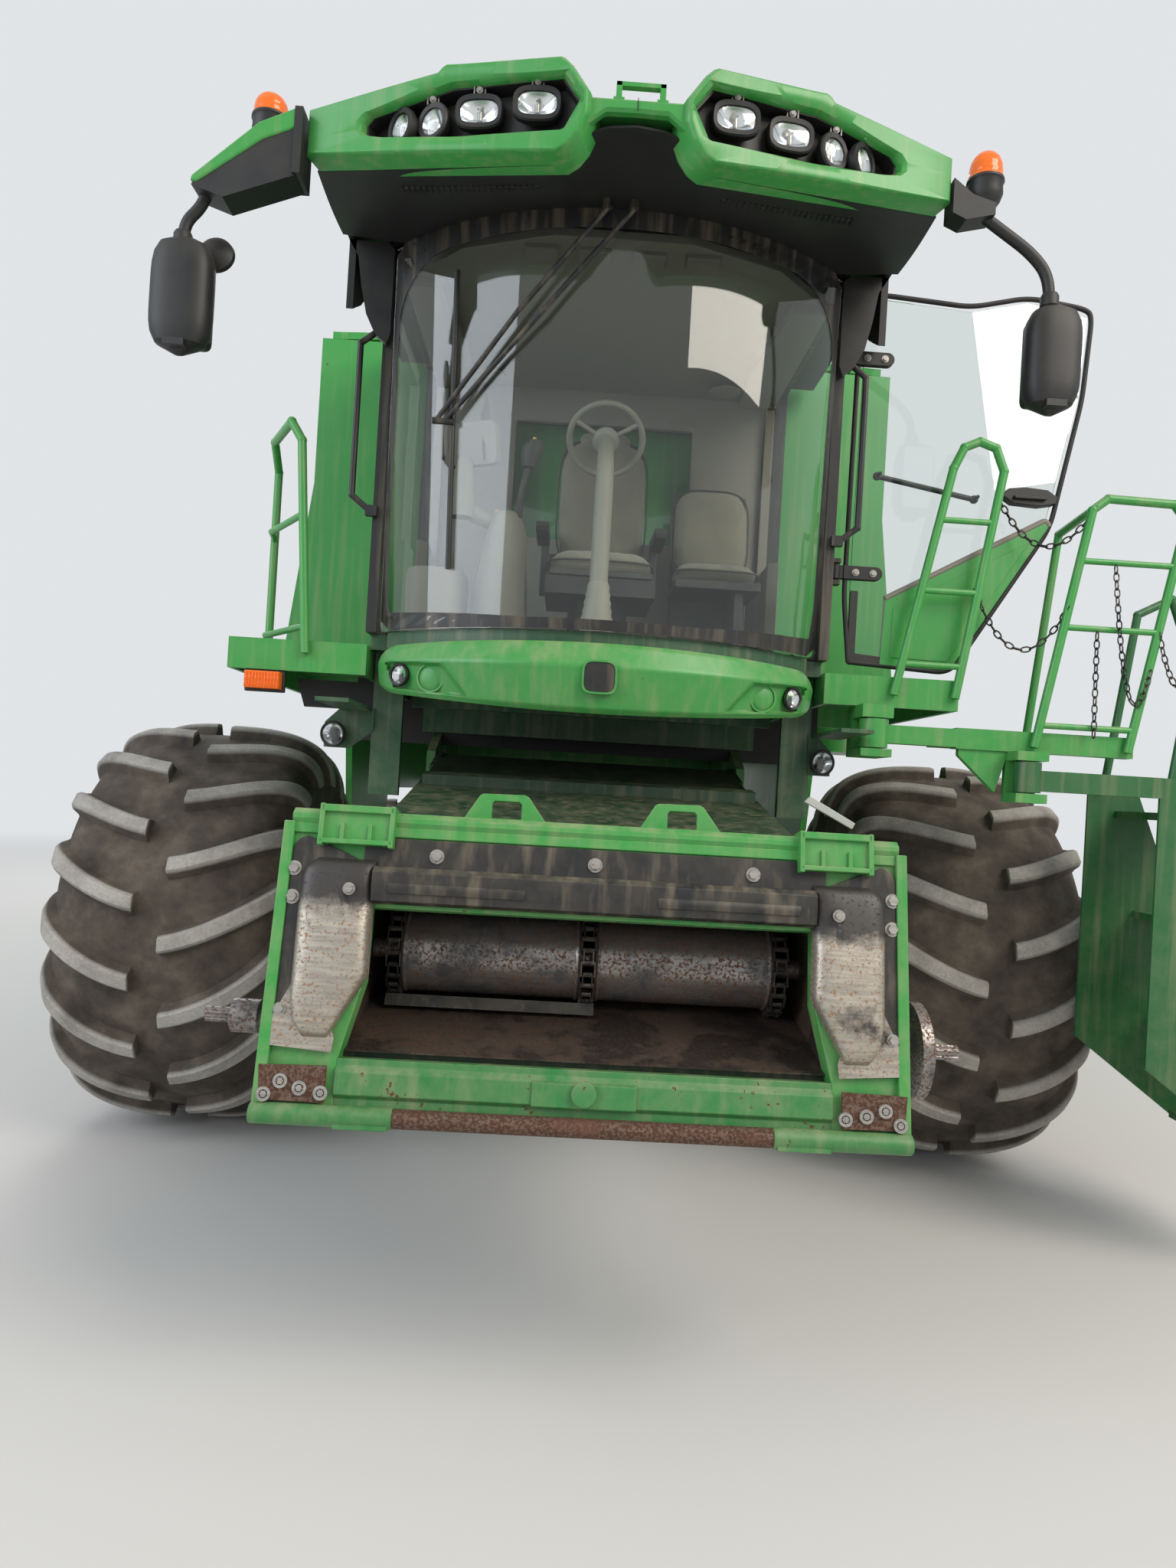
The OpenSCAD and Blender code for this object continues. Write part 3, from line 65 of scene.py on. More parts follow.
# %% The shift from the axle to the frame
MM = 0.001
wheel_low, wheel_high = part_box("front_tyre_left")
right_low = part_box("front_tyre_right")[0]
SHIFT = np.array([(wheel_high[0] + right_low[0]) / 2, (wheel_low[1] + wheel_high[1]) / 2, 0.0])
FRONT_R = (wheel_high[2] - wheel_low[2]) / 2
print("front axle stands at", np.round(SHIFT, 3), "tyre radius", round(FRONT_R, 3))


def place(points):
    """Millimetres from the front axle to metres in the frame."""
    return np.asarray(points, float) * MM + SHIFT


# %% [markdown]
# ## Camera
# The photograph was taken with a phone held upright, a little to the right of the middle and
# tilted by about three degrees, which is why the ground line slopes. The same place and tilt
# are used here, with a lens as wide as the phone's.

# %% Camera at the photograph's angle
EYE = place([-108, -5343, 1763])
YAW, PITCH, ROLL = 1.448, 0.392, 3.365
camera_data = bpy.data.cameras.new("camera")
camera_data.sensor_fit = "VERTICAL"
camera_data.sensor_height = 36
camera_data.lens = 23.24
camera = bpy.data.objects.new("camera", camera_data)
bpy.context.scene.collection.objects.link(camera)

turn = (Matrix.Rotation(math.radians(-YAW), 4, "Z")
        @ Matrix.Rotation(math.radians(90 + PITCH), 4, "X")
        @ Matrix.Rotation(math.radians(ROLL), 4, "Z"))
camera.matrix_world = Matrix.Translation(Vector(EYE)) @ turn
bpy.context.scene.camera = camera
print("camera at", np.round(EYE, 3))

# %% [markdown]
# ## Studio
# A wide pale floor, a pale world and three large soft lamps give a plain level of light, so
# that a paint renders about as its colour is written. Far from the machine the floor takes
# the world's colour where it is seen directly, so no horizon cuts across the picture.

# %% Nodes, colours and the studio
def linear(hex_colour):
    """An sRGB hex colour as the linear one that the shaders work in."""
    values = [int(hex_colour[i:i + 2], 16) / 255 for i in (1, 3, 5)]
    return [v / 12.92 if v <= 0.04045 else ((v + 0.055) / 1.055) ** 2.4 for v in values] + [1.0]


def add(tree, kind, links=None, **settings):
    """Adds a node, sets its fields, and sets or links its inputs by name or by number."""
    node = tree.nodes.new(kind)
    for field, value in settings.items():
        setattr(node, field, value)
    for socket, value in (links or {}).items():
        target = node.inputs[socket]
        if isinstance(value, bpy.types.NodeSocket):
            tree.links.new(value, target)
        elif isinstance(value, str):
            target.default_value = linear(value)
        else:
            target.default_value = value
    return node


class Surface:
    """A new material. Each method adds one kind of node and gives back its output."""

    def __init__(self, name):
        self.made = bpy.data.materials.new(name)
        self.made.use_nodes = True
        self.tree = self.made.node_tree
        self.tree.nodes.clear()
        self.shader = add(self.tree, "ShaderNodeBsdfPrincipled")
        self.end = add(self.tree, "ShaderNodeOutputMaterial", {"Surface": self.shader.outputs[0]})
        self.spot = self.node("TexCoord", out="Object")

    def node(self, kind, links=None, out=0, **settings):
        """Any shader node, by its name without the first word."""
        return add(self.tree, "ShaderNode" + kind, links, **settings).outputs[out]

    def noise(self, wide, detail, roughness=0.5, at=None):
        """Noise whose blobs are about as wide as given, in metres."""
        return self.node("TexNoise", {"Vector": at or self.spot, "Scale": 1 / wide,
                                      "Detail": detail, "Roughness": roughness}, "Fac")

    def ranged(self, value, low, high, to_low=0.0, to_high=1.0):
        """The value's range from low to high is carried to another one, and cut off there."""
        return self.node("MapRange", {"Value": value, "From Min": low, "From Max": high,
                                      "To Min": to_low, "To Max": to_high})

    def maths(self, operation, *values, clamp=False):
        """A sum, a product or the like of numbers and outputs."""
        return self.node("Math", dict(enumerate(values)), operation=operation, use_clamp=clamp)

    def mixed(self, share, first, second):
        """The first colour gives way to the second as the share goes from 0 to 1."""
        return self.node("MixRGB", {"Fac": share, "Color1": first, "Color2": second})

    def upward(self, vector):
        """The Z part of a vector."""
        return self.node("SeparateXYZ", {0: vector}, "Z")

    def slope(self):
        """How far a face looks up: 1 on top, 0 on a wall, -1 below."""
        return self.upward(self.node("NewGeometry", out="Normal"))

    def bump(self, height, strength, distance):
        """Relief as high as the distance, in metres, where the strength is 1."""
        return self.node("Bump", {"Height": height, "Strength": strength, "Distance": distance})

    def finished(self, **sockets):
        """Sets or links the shader's sockets by name, and gives back the material."""
        for name, value in sockets.items():
            socket = self.shader.inputs[name.replace("_", " ")]
            if isinstance(value, bpy.types.NodeSocket):
                self.tree.links.new(value, socket)
            else:
                socket.default_value = linear(value) if isinstance(value, str) else value
        return self.made


FLOOR_REACH = 90.0
BACKDROP = "#eceff2"
NEAR, FAR = 8.0, 22.0
BACKDROP_LIGHT = 0.9


def studio_floor():
    """Radius times angle: a flat disc whose rings stand closer together near the middle."""
    radius, angle = np.meshgrid(np.linspace(0.02, 1, 24) ** 2 * FLOOR_REACH,
                                np.linspace(0, 2 * np.pi, 64, endpoint=False), indexing="ij")
    return np.stack([radius * np.cos(angle), radius * np.sin(angle), 0 * radius], -1)


def grid_faces(rows, cols, wrap_rows=False, wrap_cols=False):
    """The quads of a grid of rows by cols points, joined round where it wraps."""
    r, c = np.meshgrid(np.arange(rows if wrap_rows else rows - 1),
                       np.arange(cols if wrap_cols else cols - 1), indexing="ij")
    r2, c2 = (r + 1) % rows, (c + 1) % cols
    return np.stack([r * cols + c, r2 * cols + c, r2 * cols + c2, r * cols + c2], -1).reshape(-1, 4)


def new_mesh(name, points, faces):
    """A mesh from an array of points in metres and a list of faces."""
    mesh = bpy.data.meshes.new(name)
    mesh.from_pydata(np.asarray(points).reshape(-1, 3), [], [list(map(int, f)) for f in faces])
    mesh.validate()
    return mesh


floor_points = studio_floor()
rings, spokes = floor_points.shape[:2]
floor_faces = [list(f) for f in grid_faces(rings, spokes, False, True)] + [list(range(spokes))]
floor_mesh = new_mesh("studio_floor", floor_points, floor_faces)
floor_object = bpy.data.objects.new("studio_floor", floor_mesh)
bpy.context.scene.collection.objects.link(floor_object)


def seen_directly(tree):
    """One for a ray from the camera, off gloss or through glass, none for a ray of plain light."""
    path = add(tree, "ShaderNodeLightPath").outputs
    either = add(tree, "ShaderNodeMath", {0: path["Is Camera Ray"], 1: path["Is Glossy Ray"]},
                 operation="MAXIMUM")
    return add(tree, "ShaderNodeMath", {0: either.outputs[0], 1: path["Is Transmission Ray"]},
               operation="MAXIMUM").outputs[0]


paper = Surface("matt_studio_paper")
floor_paint = paper.finished(Base_Color="#d6d5d1", Roughness=0.95)
from_middle = paper.node("VectorMath", {0: paper.spot}, "Value", operation="LENGTH")
away = paper.maths("MULTIPLY", paper.ranged(from_middle, NEAR, FAR), seen_directly(paper.tree))
haze = paper.node("Emission", {"Color": BACKDROP, "Strength": BACKDROP_LIGHT})
blended = paper.node("MixShader", {0: away, 1: paper.shader.outputs[0], 2: haze})
paper.tree.links.new(blended, paper.end.inputs["Surface"])
floor_mesh.materials.append(floor_paint)

world = bpy.data.worlds.new("studio_world")
bpy.context.scene.world = world
world.use_nodes = True
tree = world.node_tree
tree.nodes.clear()
lit = add(tree, "ShaderNodeBackground", {"Color": "#f2f5fa", "Strength": 0.62})
backdrop = add(tree, "ShaderNodeBackground", {"Color": BACKDROP, "Strength": BACKDROP_LIGHT})
shown = add(tree, "ShaderNodeMixShader", {0: seen_directly(tree), 1: lit.outputs[0],
                                          2: backdrop.outputs[0]})
add(tree, "ShaderNodeOutputWorld", {"Surface": shown.outputs[0]})


def soft_lamp(name, at, aim, size, watts, colour):
    """A square area lamp at a drawing place, turned to face another."""
    data = bpy.data.lights.new(name, "AREA")
    data.size, data.energy, data.color = size, watts, linear(colour)[:3]
    lamp = bpy.data.objects.new(name, data)
    bpy.context.scene.collection.objects.link(lamp)
    start, end = Vector(place(at)), Vector(place(aim))
    lamp.matrix_world = (Matrix.Translation(start)
                         @ (end - start).to_track_quat("-Z", "Y").to_matrix().to_4x4())


soft_lamp("key_lamp", (7500, -8500, 9500), (0, 500, 1800), 7.0, 1150, "#fff6ea")
soft_lamp("fill_lamp", (-9000, -7000, 6000), (0, 0, 1800), 7.0, 600, "#eef4ff")
soft_lamp("rear_lamp", (-4000, 13000, 9000), (0, 2500, 2000), 7.0, 650, "#ffffff")
bpy.context.scene.view_settings.view_transform = "Standard"
print("lamps and floor are set")

# %% [markdown]
# ## Machine enamel
# Farm machines are sprayed with a thick, glossy enamel. After some seasons it fades in wide
# patches, dust lies on every ledge and low down, rain draws faint streaks, and small stones
# chip it. One function mixes those four, and each colour of paint says how much it has.

# %% Weathered enamel
DUST = "#b3a488"


def enamel(name, colour, faded, gloss_loss=0.34, dust=0.5, chips=0.3, rust="#5b3a26"):
    """Sprayed enamel: faded patches 700 mm wide, dust by slope and height, streaks and chips."""
    s = Surface(name)
    fade = s.mixed(s.noise(0.7, 3.0), colour, faded)
    on_ledge = s.ranged(s.slope(), 0.2, 0.95, 0.0, 0.75)
    low_down = s.ranged(s.upward(s.spot), 0.3, 2.6, 0.6, 0.08)
    patches = s.noise(0.09, 6.0, 0.68)
    settled = s.maths("ADD", on_ledge, low_down)
    dusty = s.maths("MULTIPLY", settled, s.ranged(patches, 0.36, 0.66))
    dusty = s.maths("MULTIPLY", dusty, dust, clamp=True)
    drawn = s.node("Mapping", {"Vector": s.spot, "Scale": (26.0, 26.0, 1.4)})
    streaked = s.mixed(s.ranged(s.noise(1.0, 4.0, at=drawn), 0.5, 0.8, 0.0, 0.28), fade, DUST)
    powdered = s.mixed(dusty, streaked, DUST)
    worn = s.maths("MULTIPLY", s.noise(0.016, 4.0, 0.6), patches)
    chipped = s.ranged(worn, 0.46 - 0.1 * chips, 0.48 - 0.1 * chips)
    dull = s.maths("MAXIMUM", dusty, chipped)
    return s.finished(Base_Color=s.mixed(chipped, powdered, rust), IOR=1.5,
                      Roughness=s.ranged(dull, 0.0, 1.0, gloss_loss, 0.9),
                      Normal=s.bump(s.noise(0.006, 2.0), 0.06, 0.001))


green_enamel = enamel("green_machine_enamel", "#2e8a3a", "#3d9a48", dust=0.5, chips=0.25)
low_green_enamel = enamel("green_enamel_low_and_dusty", "#256f35", "#2f7f3f", 0.42, dust=0.8,
                          chips=0.7)
foot_green_enamel = enamel("scraped_green_enamel", "#256f35", "#2f7f3f", 0.42, dust=0.32, chips=0.9)
# Painted shade: the ladder's green is darkened towards black because its side stands in shadow; its
# few chips are real wear.
ladder_painted_shade_green = enamel("ladder_green_darkened_by_painted_shade", "#1b5a2c", "#216334", 0.4, dust=0.22,
                             chips=0.4)
dulled_green_enamel = enamel("sun_dulled_green_enamel", "#2e8a3a", "#3d9a48", 0.8, dust=0.4,
                             chips=0.2)
# Painted shade: the feeder housing's green is made nearly black, with little dust, because the
# housing stands in deep shadow under the cab.
tunnel_painted_shade_green = enamel("feeder_green_darkened_by_painted_shade", "#12301d", "#183c24", 0.5, dust=0.16,
                             chips=0.5)
# Painted shade: a darker copy of the green for parts under the cab and low at the tail, which stand
# in shadow.
painted_shade_green = enamel("green_enamel_with_painted_shade", "#17452a", "#1f5534", 0.4, dust=0.6, chips=0.3)
yellow_enamel = enamel("yellow_wheel_enamel", "#e2b01c", "#edc23c", 0.36, dust=0.9, chips=0.5)
black_enamel = enamel("black_satin_enamel", "#121314", "#1d1e20", 0.42, dust=0.2, chips=0.1,
                      rust="#4a4642")
pale_enamel = enamel("pale_grey_enamel", "#aeb1ab", "#c3c5bf", 0.4, dust=0.3, chips=0.4)
print("enamels mixed:", [m.name for m in bpy.data.materials])

# %% [markdown]
# ## Metal worn bare
# The pressed covers beside the feeder mouth, its drum and its floor are scoured by the crop.
# The black paint goes first at the middle of each panel, then the steel shines, and where the
# machine stands in the wet a fine brown rust comes up in specks.

# %% Worn steel, rust, chain and chrome
def scoured_steel(name, paint, bare, rust, paint_left=0.5, rusty=0.35, shine=0.38,
                  whole_above=None):
    """Three layers cut by noise: paint over bright steel over specks of rust.
    Above a given height in metres the paint is whole, with a ragged lower edge."""
    s = Surface(name)
    wide = s.noise(0.16, 8.0, 0.62)
    bared = s.ranged(wide, paint_left - 0.06, paint_left + 0.05)
    if whole_above:
        ragged = s.maths("MULTIPLY_ADD", wide, 0.22, s.upward(s.spot))
        kept = s.ranged(ragged, whole_above + 0.09, whole_above + 0.13, 1.0, 0.0)
        bared = s.maths("MULTIPLY", bared, kept)
    grit = s.noise(0.009, 3.0, 0.7)
    specked = s.ranged(grit, 0.62 - 0.2 * rusty, 0.7 - 0.2 * rusty)
    drawn = s.node("Mapping", {"Vector": s.spot, "Scale": (4.0, 60.0, 60.0)})
    metal = s.mixed(s.noise(0.5, 4.0, at=drawn), bare, "#6f6a64")
    rusted = s.mixed(specked, metal, rust)
    clean = s.maths("SUBTRACT", 1.0, specked)
    metallic = s.maths("MULTIPLY", s.maths("MULTIPLY", bared, clean), 0.75)
    return s.finished(Base_Color=s.mixed(bared, paint, rusted), Metallic=metallic,
                      Roughness=s.ranged(specked, 0.0, 1.0, shine, 0.85),
                      Normal=s.bump(grit, 0.25, 0.001))


cover_steel = scoured_steel("pressed_steel_scoured_by_crop", "#34312e", "#cfc7b8", "#8a6a4c", 0.36,
                            0.35, 0.42, 1.4)
tunnel_steel = scoured_steel("tunnel_floor_scoured_brown", "#2a211b", "#5d4c3e", "#4a3222", 0.5,
                             0.7, 0.5)
drum_steel = scoured_steel("rolled_drum_steel", "#4e4c4c", "#aaa5a3", "#66452f", 0.46, 0.6, 0.32)
rusty_steel = scoured_steel("rusted_round_bar", "#5b3b2a", "#7a5a45", "#4a2c1d", 0.4, 0.9, 0.7)
chain_steel = scoured_steel("oiled_roller_chain", "#1c1a18", "#4b443e", "#3a271c", 0.5, 0.5, 0.35)
exhaust_steel = scoured_steel("heat_dulled_stainless", "#57524d", "#a39a90", "#6b4a36", 0.3, 0.2,
                              0.4)
zinc_steel = scoured_steel("zinc_plated_bolt", "#8b8a86", "#c9c6bf", "#7d5a40", 0.2, 0.15, 0.35)


def bright_metal(name, colour, roughness):
    """Chrome or a silvered reflector: one colour, polished, with faint wipe marks."""
    s = Surface(name)
    return s.finished(Base_Color=colour, Metallic=1.0,
                      Roughness=s.ranged(s.noise(0.03, 3.0), 0.0, 1.0, roughness, roughness + 0.1))


chrome = bright_metal("hard_chrome_rod", "#d9dadb", 0.06)
reflector = bright_metal("silvered_lamp_reflector", "#eef0f2", 0.12)
mirror_glass = bright_metal("silvered_mirror_glass", "#f2f4f5", 0.01)
print("steels made")

# %% [markdown]
# ## Plastics, rubber, glass and cloth
# Moulded plastic keeps a fine grain from its mould and greys where the sun and dust reach it.
# A field tyre is brown with dried mud between its lugs and pale where the ground scuffs their
# tops, so its material reads how high each point stands above the casing.

# %% Moulded plastic and rubber
def moulded(name, colour, dusted, roughness, grain_mm=1.5, dust=0.5):
    """Plastic or rubber: mould grain, a dusting on the upper faces and a dull sheen."""
    s = Surface(name)
    on_top = s.ranged(s.slope(), -0.2, 0.9, 0.15, 1.0)
    dusty = s.maths("MULTIPLY", on_top, s.ranged(s.noise(0.12, 6.0, 0.65), 0.35, 0.75, 0.0, dust))
    grain = s.node("TexVoronoi", {"Vector": s.spot, "Scale": 1000 / grain_mm}, "Distance")
    return s.finished(Base_Color=s.mixed(dusty, colour, dusted),
                      Normal=s.bump(grain, 0.25, 0.0005),
                      Roughness=s.ranged(dusty, 0.0, 1.0, roughness, 0.92))


black_moulding = moulded("grained_black_moulding", "#141516", "#77705f", 0.5, dust=0.3)
black_seal = moulded("extruded_rubber_seal", "#0e0e0f", "#6f6a5e", 0.6, dust=0.35)
cab_trim = moulded("grey_cab_trim_moulding", "#77736a", "#a59c89", 0.55, dust=0.35)
dark_trim = moulded("charcoal_cab_trim_moulding", "#2b2b2a", "#8d8676", 0.5, dust=0.3)
floor_mat = moulded("ribbed_rubber_floor_mat", "#1f1f1e", "#8b8068", 0.75, 6, dust=0.9)
engine_enamel = moulded("dusty_engine_block_paint", "#2f5a38", "#7d7562", 0.55, 4, dust=0.8)


def field_tyre():
    """Tyre rubber: mud brown low on the casing, pale and scuffed on the tops of the lugs."""
    s = Surface("field_tyre_rubber")
    mud, grit = s.noise(0.2, 7.0, 0.66), s.noise(0.012, 5.0, 0.7)
    casing = add(s.tree, "ShaderNodeValToRGB", {"Fac": mud})
    stops = casing.color_ramp.elements
    stops[0].position, stops[0].color = 0.3, linear("#2d2825")
    stops[1].position, stops[1].color = 0.72, linear("#6b6155")
    stops.new(0.5).color = linear("#4b433a")
    wear = s.ranged(s.node("Attribute", out="Fac", attribute_name="wear"), 0.62, 0.9)
    scuffed = s.maths("MULTIPLY", wear, s.ranged(mud, 0.3, 0.6, 0.55, 1.0))
    tops = s.mixed(grit, "#7c7872", "#c4c0b8")
    return s.finished(Base_Color=s.mixed(scuffed, casing.outputs[0], tops), Roughness=0.86,
                      Normal=s.bump(grit, 0.5, 0.004))


tyre_rubber = field_tyre()
print("rubbers and plastics made")

# %% [markdown]
# The glass lets the lamps' light pass into the cab: rays that only test for shadow go
# straight through a clear shader, and every other ray meets real glass with its reflections.

# %% Glass, lenses and upholstery
def clear_glass(name, tint, ior=1.45):
    """Glass for the eye, and a clear film for rays that come from lamps."""
    s = Surface(name)
    film = s.node("BsdfTransparent", {"Color": "#f4f8f6"})
    shadow = s.node("LightPath", out="Is Shadow Ray")
    either = s.node("MixShader", {0: shadow, 1: s.shader.outputs[0], 2: film})
    s.tree.links.new(either, s.end.inputs["Surface"])
    return s.finished(Base_Color=tint, Transmission_Weight=1.0, Roughness=0.0, IOR=ior)


cab_pane = clear_glass("laminated_cab_glass", "#eef4f1")
lamp_lens = clear_glass("clear_polycarbonate_lens", "#f6f8f8", 1.5)


def amber_plastic(name, colour):
    """Tinted acrylic that glows a little where light passes, with fine ribs inside."""
    s = Surface(name)
    ribs = s.node("TexWave", {"Vector": s.spot, "Scale": 14.0}, "Fac", bands_direction="Z")
    return s.finished(Base_Color=colour, Roughness=0.12, Subsurface_Weight=0.35,
                      Subsurface_Radius=(0.03, 0.012, 0.004), Normal=s.bump(ribs, 0.25, 0.003))


amber_lens = amber_plastic("amber_acrylic_lens", "#f0700f")
red_lens = amber_plastic("red_acrylic_lens", "#b3140f")


WEAVE_MM = 4.0


def upholstery(name, colour, thread):
    """Woven seat cloth: two crossing sine waves, a thread apart, raise and darken the weave."""
    s = Surface(name)
    rate = 1000 / WEAVE_MM / 6.2832 * 2
    warp, weft = [s.node("TexWave", {"Vector": s.spot, "Scale": rate, "Distortion": 0.6}, "Fac",
                         bands_direction=way) for way in "XZ"]
    woven = s.maths("MULTIPLY", warp, weft)
    aged = s.mixed(s.noise(0.11, 4.0), colour, "#8a826f")
    return s.finished(Base_Color=s.mixed(woven, aged, thread), Roughness=0.9, Sheen_Weight=0.3,
                      Normal=s.bump(woven, 0.5, 0.0015))


seat_cloth = upholstery("woven_seat_cloth", "#5d5a52", "#787264")
print("glass, lenses and cloth made")

# %% [markdown]
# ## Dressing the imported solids
# Most of the frame's solids already have their true shape. Each gets the finish of its real
# part; the ones that get a more detailed piece are replaced further on.

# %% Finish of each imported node
FINISH = {
    green_enamel: ["grain_tank", "side_panels", "deck_left", "deck_right", "cab_roof",
                   "roof_visor", "nose_panel", "unloading_auger",
                   "auger_base", "landing", "feeder_face", "feeder_sill", "rear_steps"],
    low_green_enamel: ["main_frame", "front_axle", "rear_axle", "separator_body", "chopper",
                       "knuckle_left", "knuckle_right"],
    # The next three greens are painted shade, darker copies for parts that stand in shadow.
    painted_shade_green: ["cab_floor", "tailboard", "cab_support"],
    ladder_painted_shade_green: ["ladder"],
    tunnel_painted_shade_green: ["feeder_housing"],
    dulled_green_enamel: ["tank_cover_left", "tank_cover_right", "rear_hood"],
    yellow_enamel: ["front_rim_left", "front_rim_right", "rear_rim_left", "rear_rim_right"],
    black_enamel: ["cab_frame", "wipers", "lift_barrels", "cooling_screen"],
    black_moulding: ["mirrors", "roof_lining", "fuel_tank", "seat_base"],
    dark_trim: ["steering_column", "control_console"],
    black_seal: ["door_frame"],
    engine_enamel: ["engine"],
    tyre_rubber: ["front_tyre_left", "front_tyre_right", "rear_tyre_left", "rear_tyre_right"],
    cover_steel: ["feeder_covers"],
    drum_steel: ["feeder_drum"],
    chain_steel: ["feeder_chain"],
    exhaust_steel: ["exhaust"],
    chrome: ["lift_rods"],
    reflector: ["work_lamps", "nose_lamps"],
    amber_lens: ["beacons"],
    cab_pane: ["windscreen", "cab_glass", "door_glass"],
    seat_cloth: ["seat_cushions"],
}
for material, nodes in FINISH.items():
    for node in nodes:
        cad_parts[node].data.materials.clear()
        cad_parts[node].data.materials.append(material)
bare = set(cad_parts) - {n for nodes in FINISH.values() for n in nodes}
print("finished", sum(map(len, FINISH.values())), "nodes, left over:", sorted(bare))

# %% [markdown]
# ## Ways of making shapes
# Four kinds of shape make nearly every piece: a tube carried along a path, a profile turned
# about an axis, a flat outline with a thickness, and a grid worked out by formula. Each
# returns points in drawing millimetres with its faces, and several can be joined into a piece.

# %% Tubes, turned shapes and slabs
def unit(vectors):
    """Vectors at length one, along the last axis."""
    vectors = np.asarray(vectors, float)
    return vectors / np.maximum(np.linalg.norm(vectors, axis=-1, keepdims=True), 1e-12)


def rounded(path, radius, steps=6):
    """A path whose corners become quadratic curves that start radius before each corner."""
    path = np.asarray(path, float)
    inner, back, on = path[1:-1], path[:-2], path[2:]
    reach_a = np.minimum(radius, 0.49 * np.linalg.norm(inner - back, axis=1))[:, None]
    reach_b = np.minimum(radius, 0.49 * np.linalg.norm(on - inner, axis=1))[:, None]
    start, end = inner + unit(back - inner) * reach_a, inner + unit(on - inner) * reach_b
    t = np.linspace(0, 1, steps)[None, :, None]
    curve = (1 - t) ** 2 * start[:, None] + 2 * t * (1 - t) * inner[:, None] + t ** 2 * end[:, None]
    return np.concatenate([path[:1], curve.reshape(-1, 3), path[-1:]])


def ring_faces(rows, cols, wrap=False):
    """Quads from ring to ring; both end rings are capped unless the last joins the first."""
    faces = [list(f) for f in grid_faces(rows, cols, wrap, True)]
    if not wrap:
        faces += [list(range(cols)), list(range(rows * cols - 1, (rows - 1) * cols - 1, -1))]
    return faces


def lofted(rings, wrap=False):
    """Rings of as many points each joined in order: closed round, or capped at both ends."""
    rings = np.asarray(rings, float)
    return rings.reshape(-1, 3), ring_faces(*rings.shape[:2], wrap)


def tube(path, radius, sides=12, closed=False):
    """A circle carried along a path; its rings lie square to the path and do not twist."""
    path = np.asarray(path, float)
    if closed:
        ahead = unit(np.roll(path, -1, 0) - np.roll(path, 1, 0))
    else:
        steps = unit(np.diff(path, axis=0))
        ahead = unit(np.concatenate([steps[:1], steps[:-1] + steps[1:], steps[-1:]]))
    spread = path.max(0) - path.min(0)
    up = np.eye(3)[int(np.argmin(spread))]
    side = unit(np.cross(ahead, up))
    over = np.cross(side, ahead)
    a = np.linspace(0, 2 * np.pi, sides, endpoint=False)
    radius = np.broadcast_to(np.asarray(radius, float), len(path))[:, None, None]
    ring = np.cos(a)[None, :, None] * side[:, None] + np.sin(a)[None, :, None] * over[:, None]
    points = (path[:, None] + ring * radius).reshape(-1, 3)
    return points, ring_faces(len(path), sides, closed)


def turned(profile, centre=(0, 0, 0), axis="z", sides=40):
    """Pairs of radius and height turned about an axis through centre; the ends are closed."""
    profile = np.asarray(profile, float)
    a = np.linspace(0, 2 * np.pi, sides, endpoint=False)
    r, h = profile[:, :1], profile[:, 1:]
    flat = np.stack([r * np.cos(a), r * np.sin(a), np.broadcast_to(h, (len(profile), sides))], -1)
    order = {"z": [0, 1, 2], "x": [2, 0, 1], "y": [1, 2, 0]}[axis]
    points = flat.reshape(-1, 3)[:, order] + np.asarray(centre, float)
    return points, ring_faces(len(profile), sides)


def slab(outline, low, high, axis="y"):
    """An outline drawn square to an axis, from low to high along it."""
    outline = np.asarray(outline, float)
    n = len(outline)
    order = {"z": [0, 1, 2], "x": [2, 0, 1], "y": [0, 2, 1]}[axis]
    ends = [np.column_stack([outline, np.full(n, h)])[:, order] for h in (low, high)]
    faces = [[i, (i + 1) % n, n + (i + 1) % n, n + i] for i in range(n)]
    return np.concatenate(ends), faces + [list(range(n)), list(range(2 * n - 1, n - 1, -1))]


def cuboid(low, high):
    """A block between two corners."""
    return slab([(low[0], low[1]), (high[0], low[1]), (high[0], high[1]), (low[0], high[1])],
                low[2], high[2], "z")


def blocks(*rows):
    """Several blocks, each from six numbers: its low corner and its high corner."""
    return [cuboid(row[:3], row[3:]) for row in rows]


def arc(centre, radius, start, end, steps=12):
    """Points on a flat arc, in degrees from the first axis."""
    a = np.radians(np.linspace(start, end, steps))
    return np.stack([centre[0] + radius * np.cos(a), centre[1] + radius * np.sin(a)], 1)


def joined(shapes):
    """Several shapes as one."""
    points, faces, count = [], [], 0
    for shape_points, shape_faces in shapes:
        points.append(np.asarray(shape_points, float).reshape(-1, 3))
        faces += [[count + i for i in face] for face in shape_faces]
        count += len(points[-1])
    return np.concatenate(points), faces


def mirrored(shape):
    """The same shape on the other side of the machine."""
    return np.asarray(shape[0]) * [-1, 1, 1], [f[::-1] for f in shape[1]]


def both(shape):
    """A shape and its mirror image."""
    return [shape, mirrored(shape)]


def turned_to(shape, normal, at):
    """A shape drawn about +Z is tilted so that +Z points along normal, and moved to at."""
    turn_matrix = np.array(Vector(normal).to_track_quat("Z", "Y").to_matrix())
    return np.asarray(shape[0]) @ turn_matrix.T + np.asarray(at, float), shape[1]


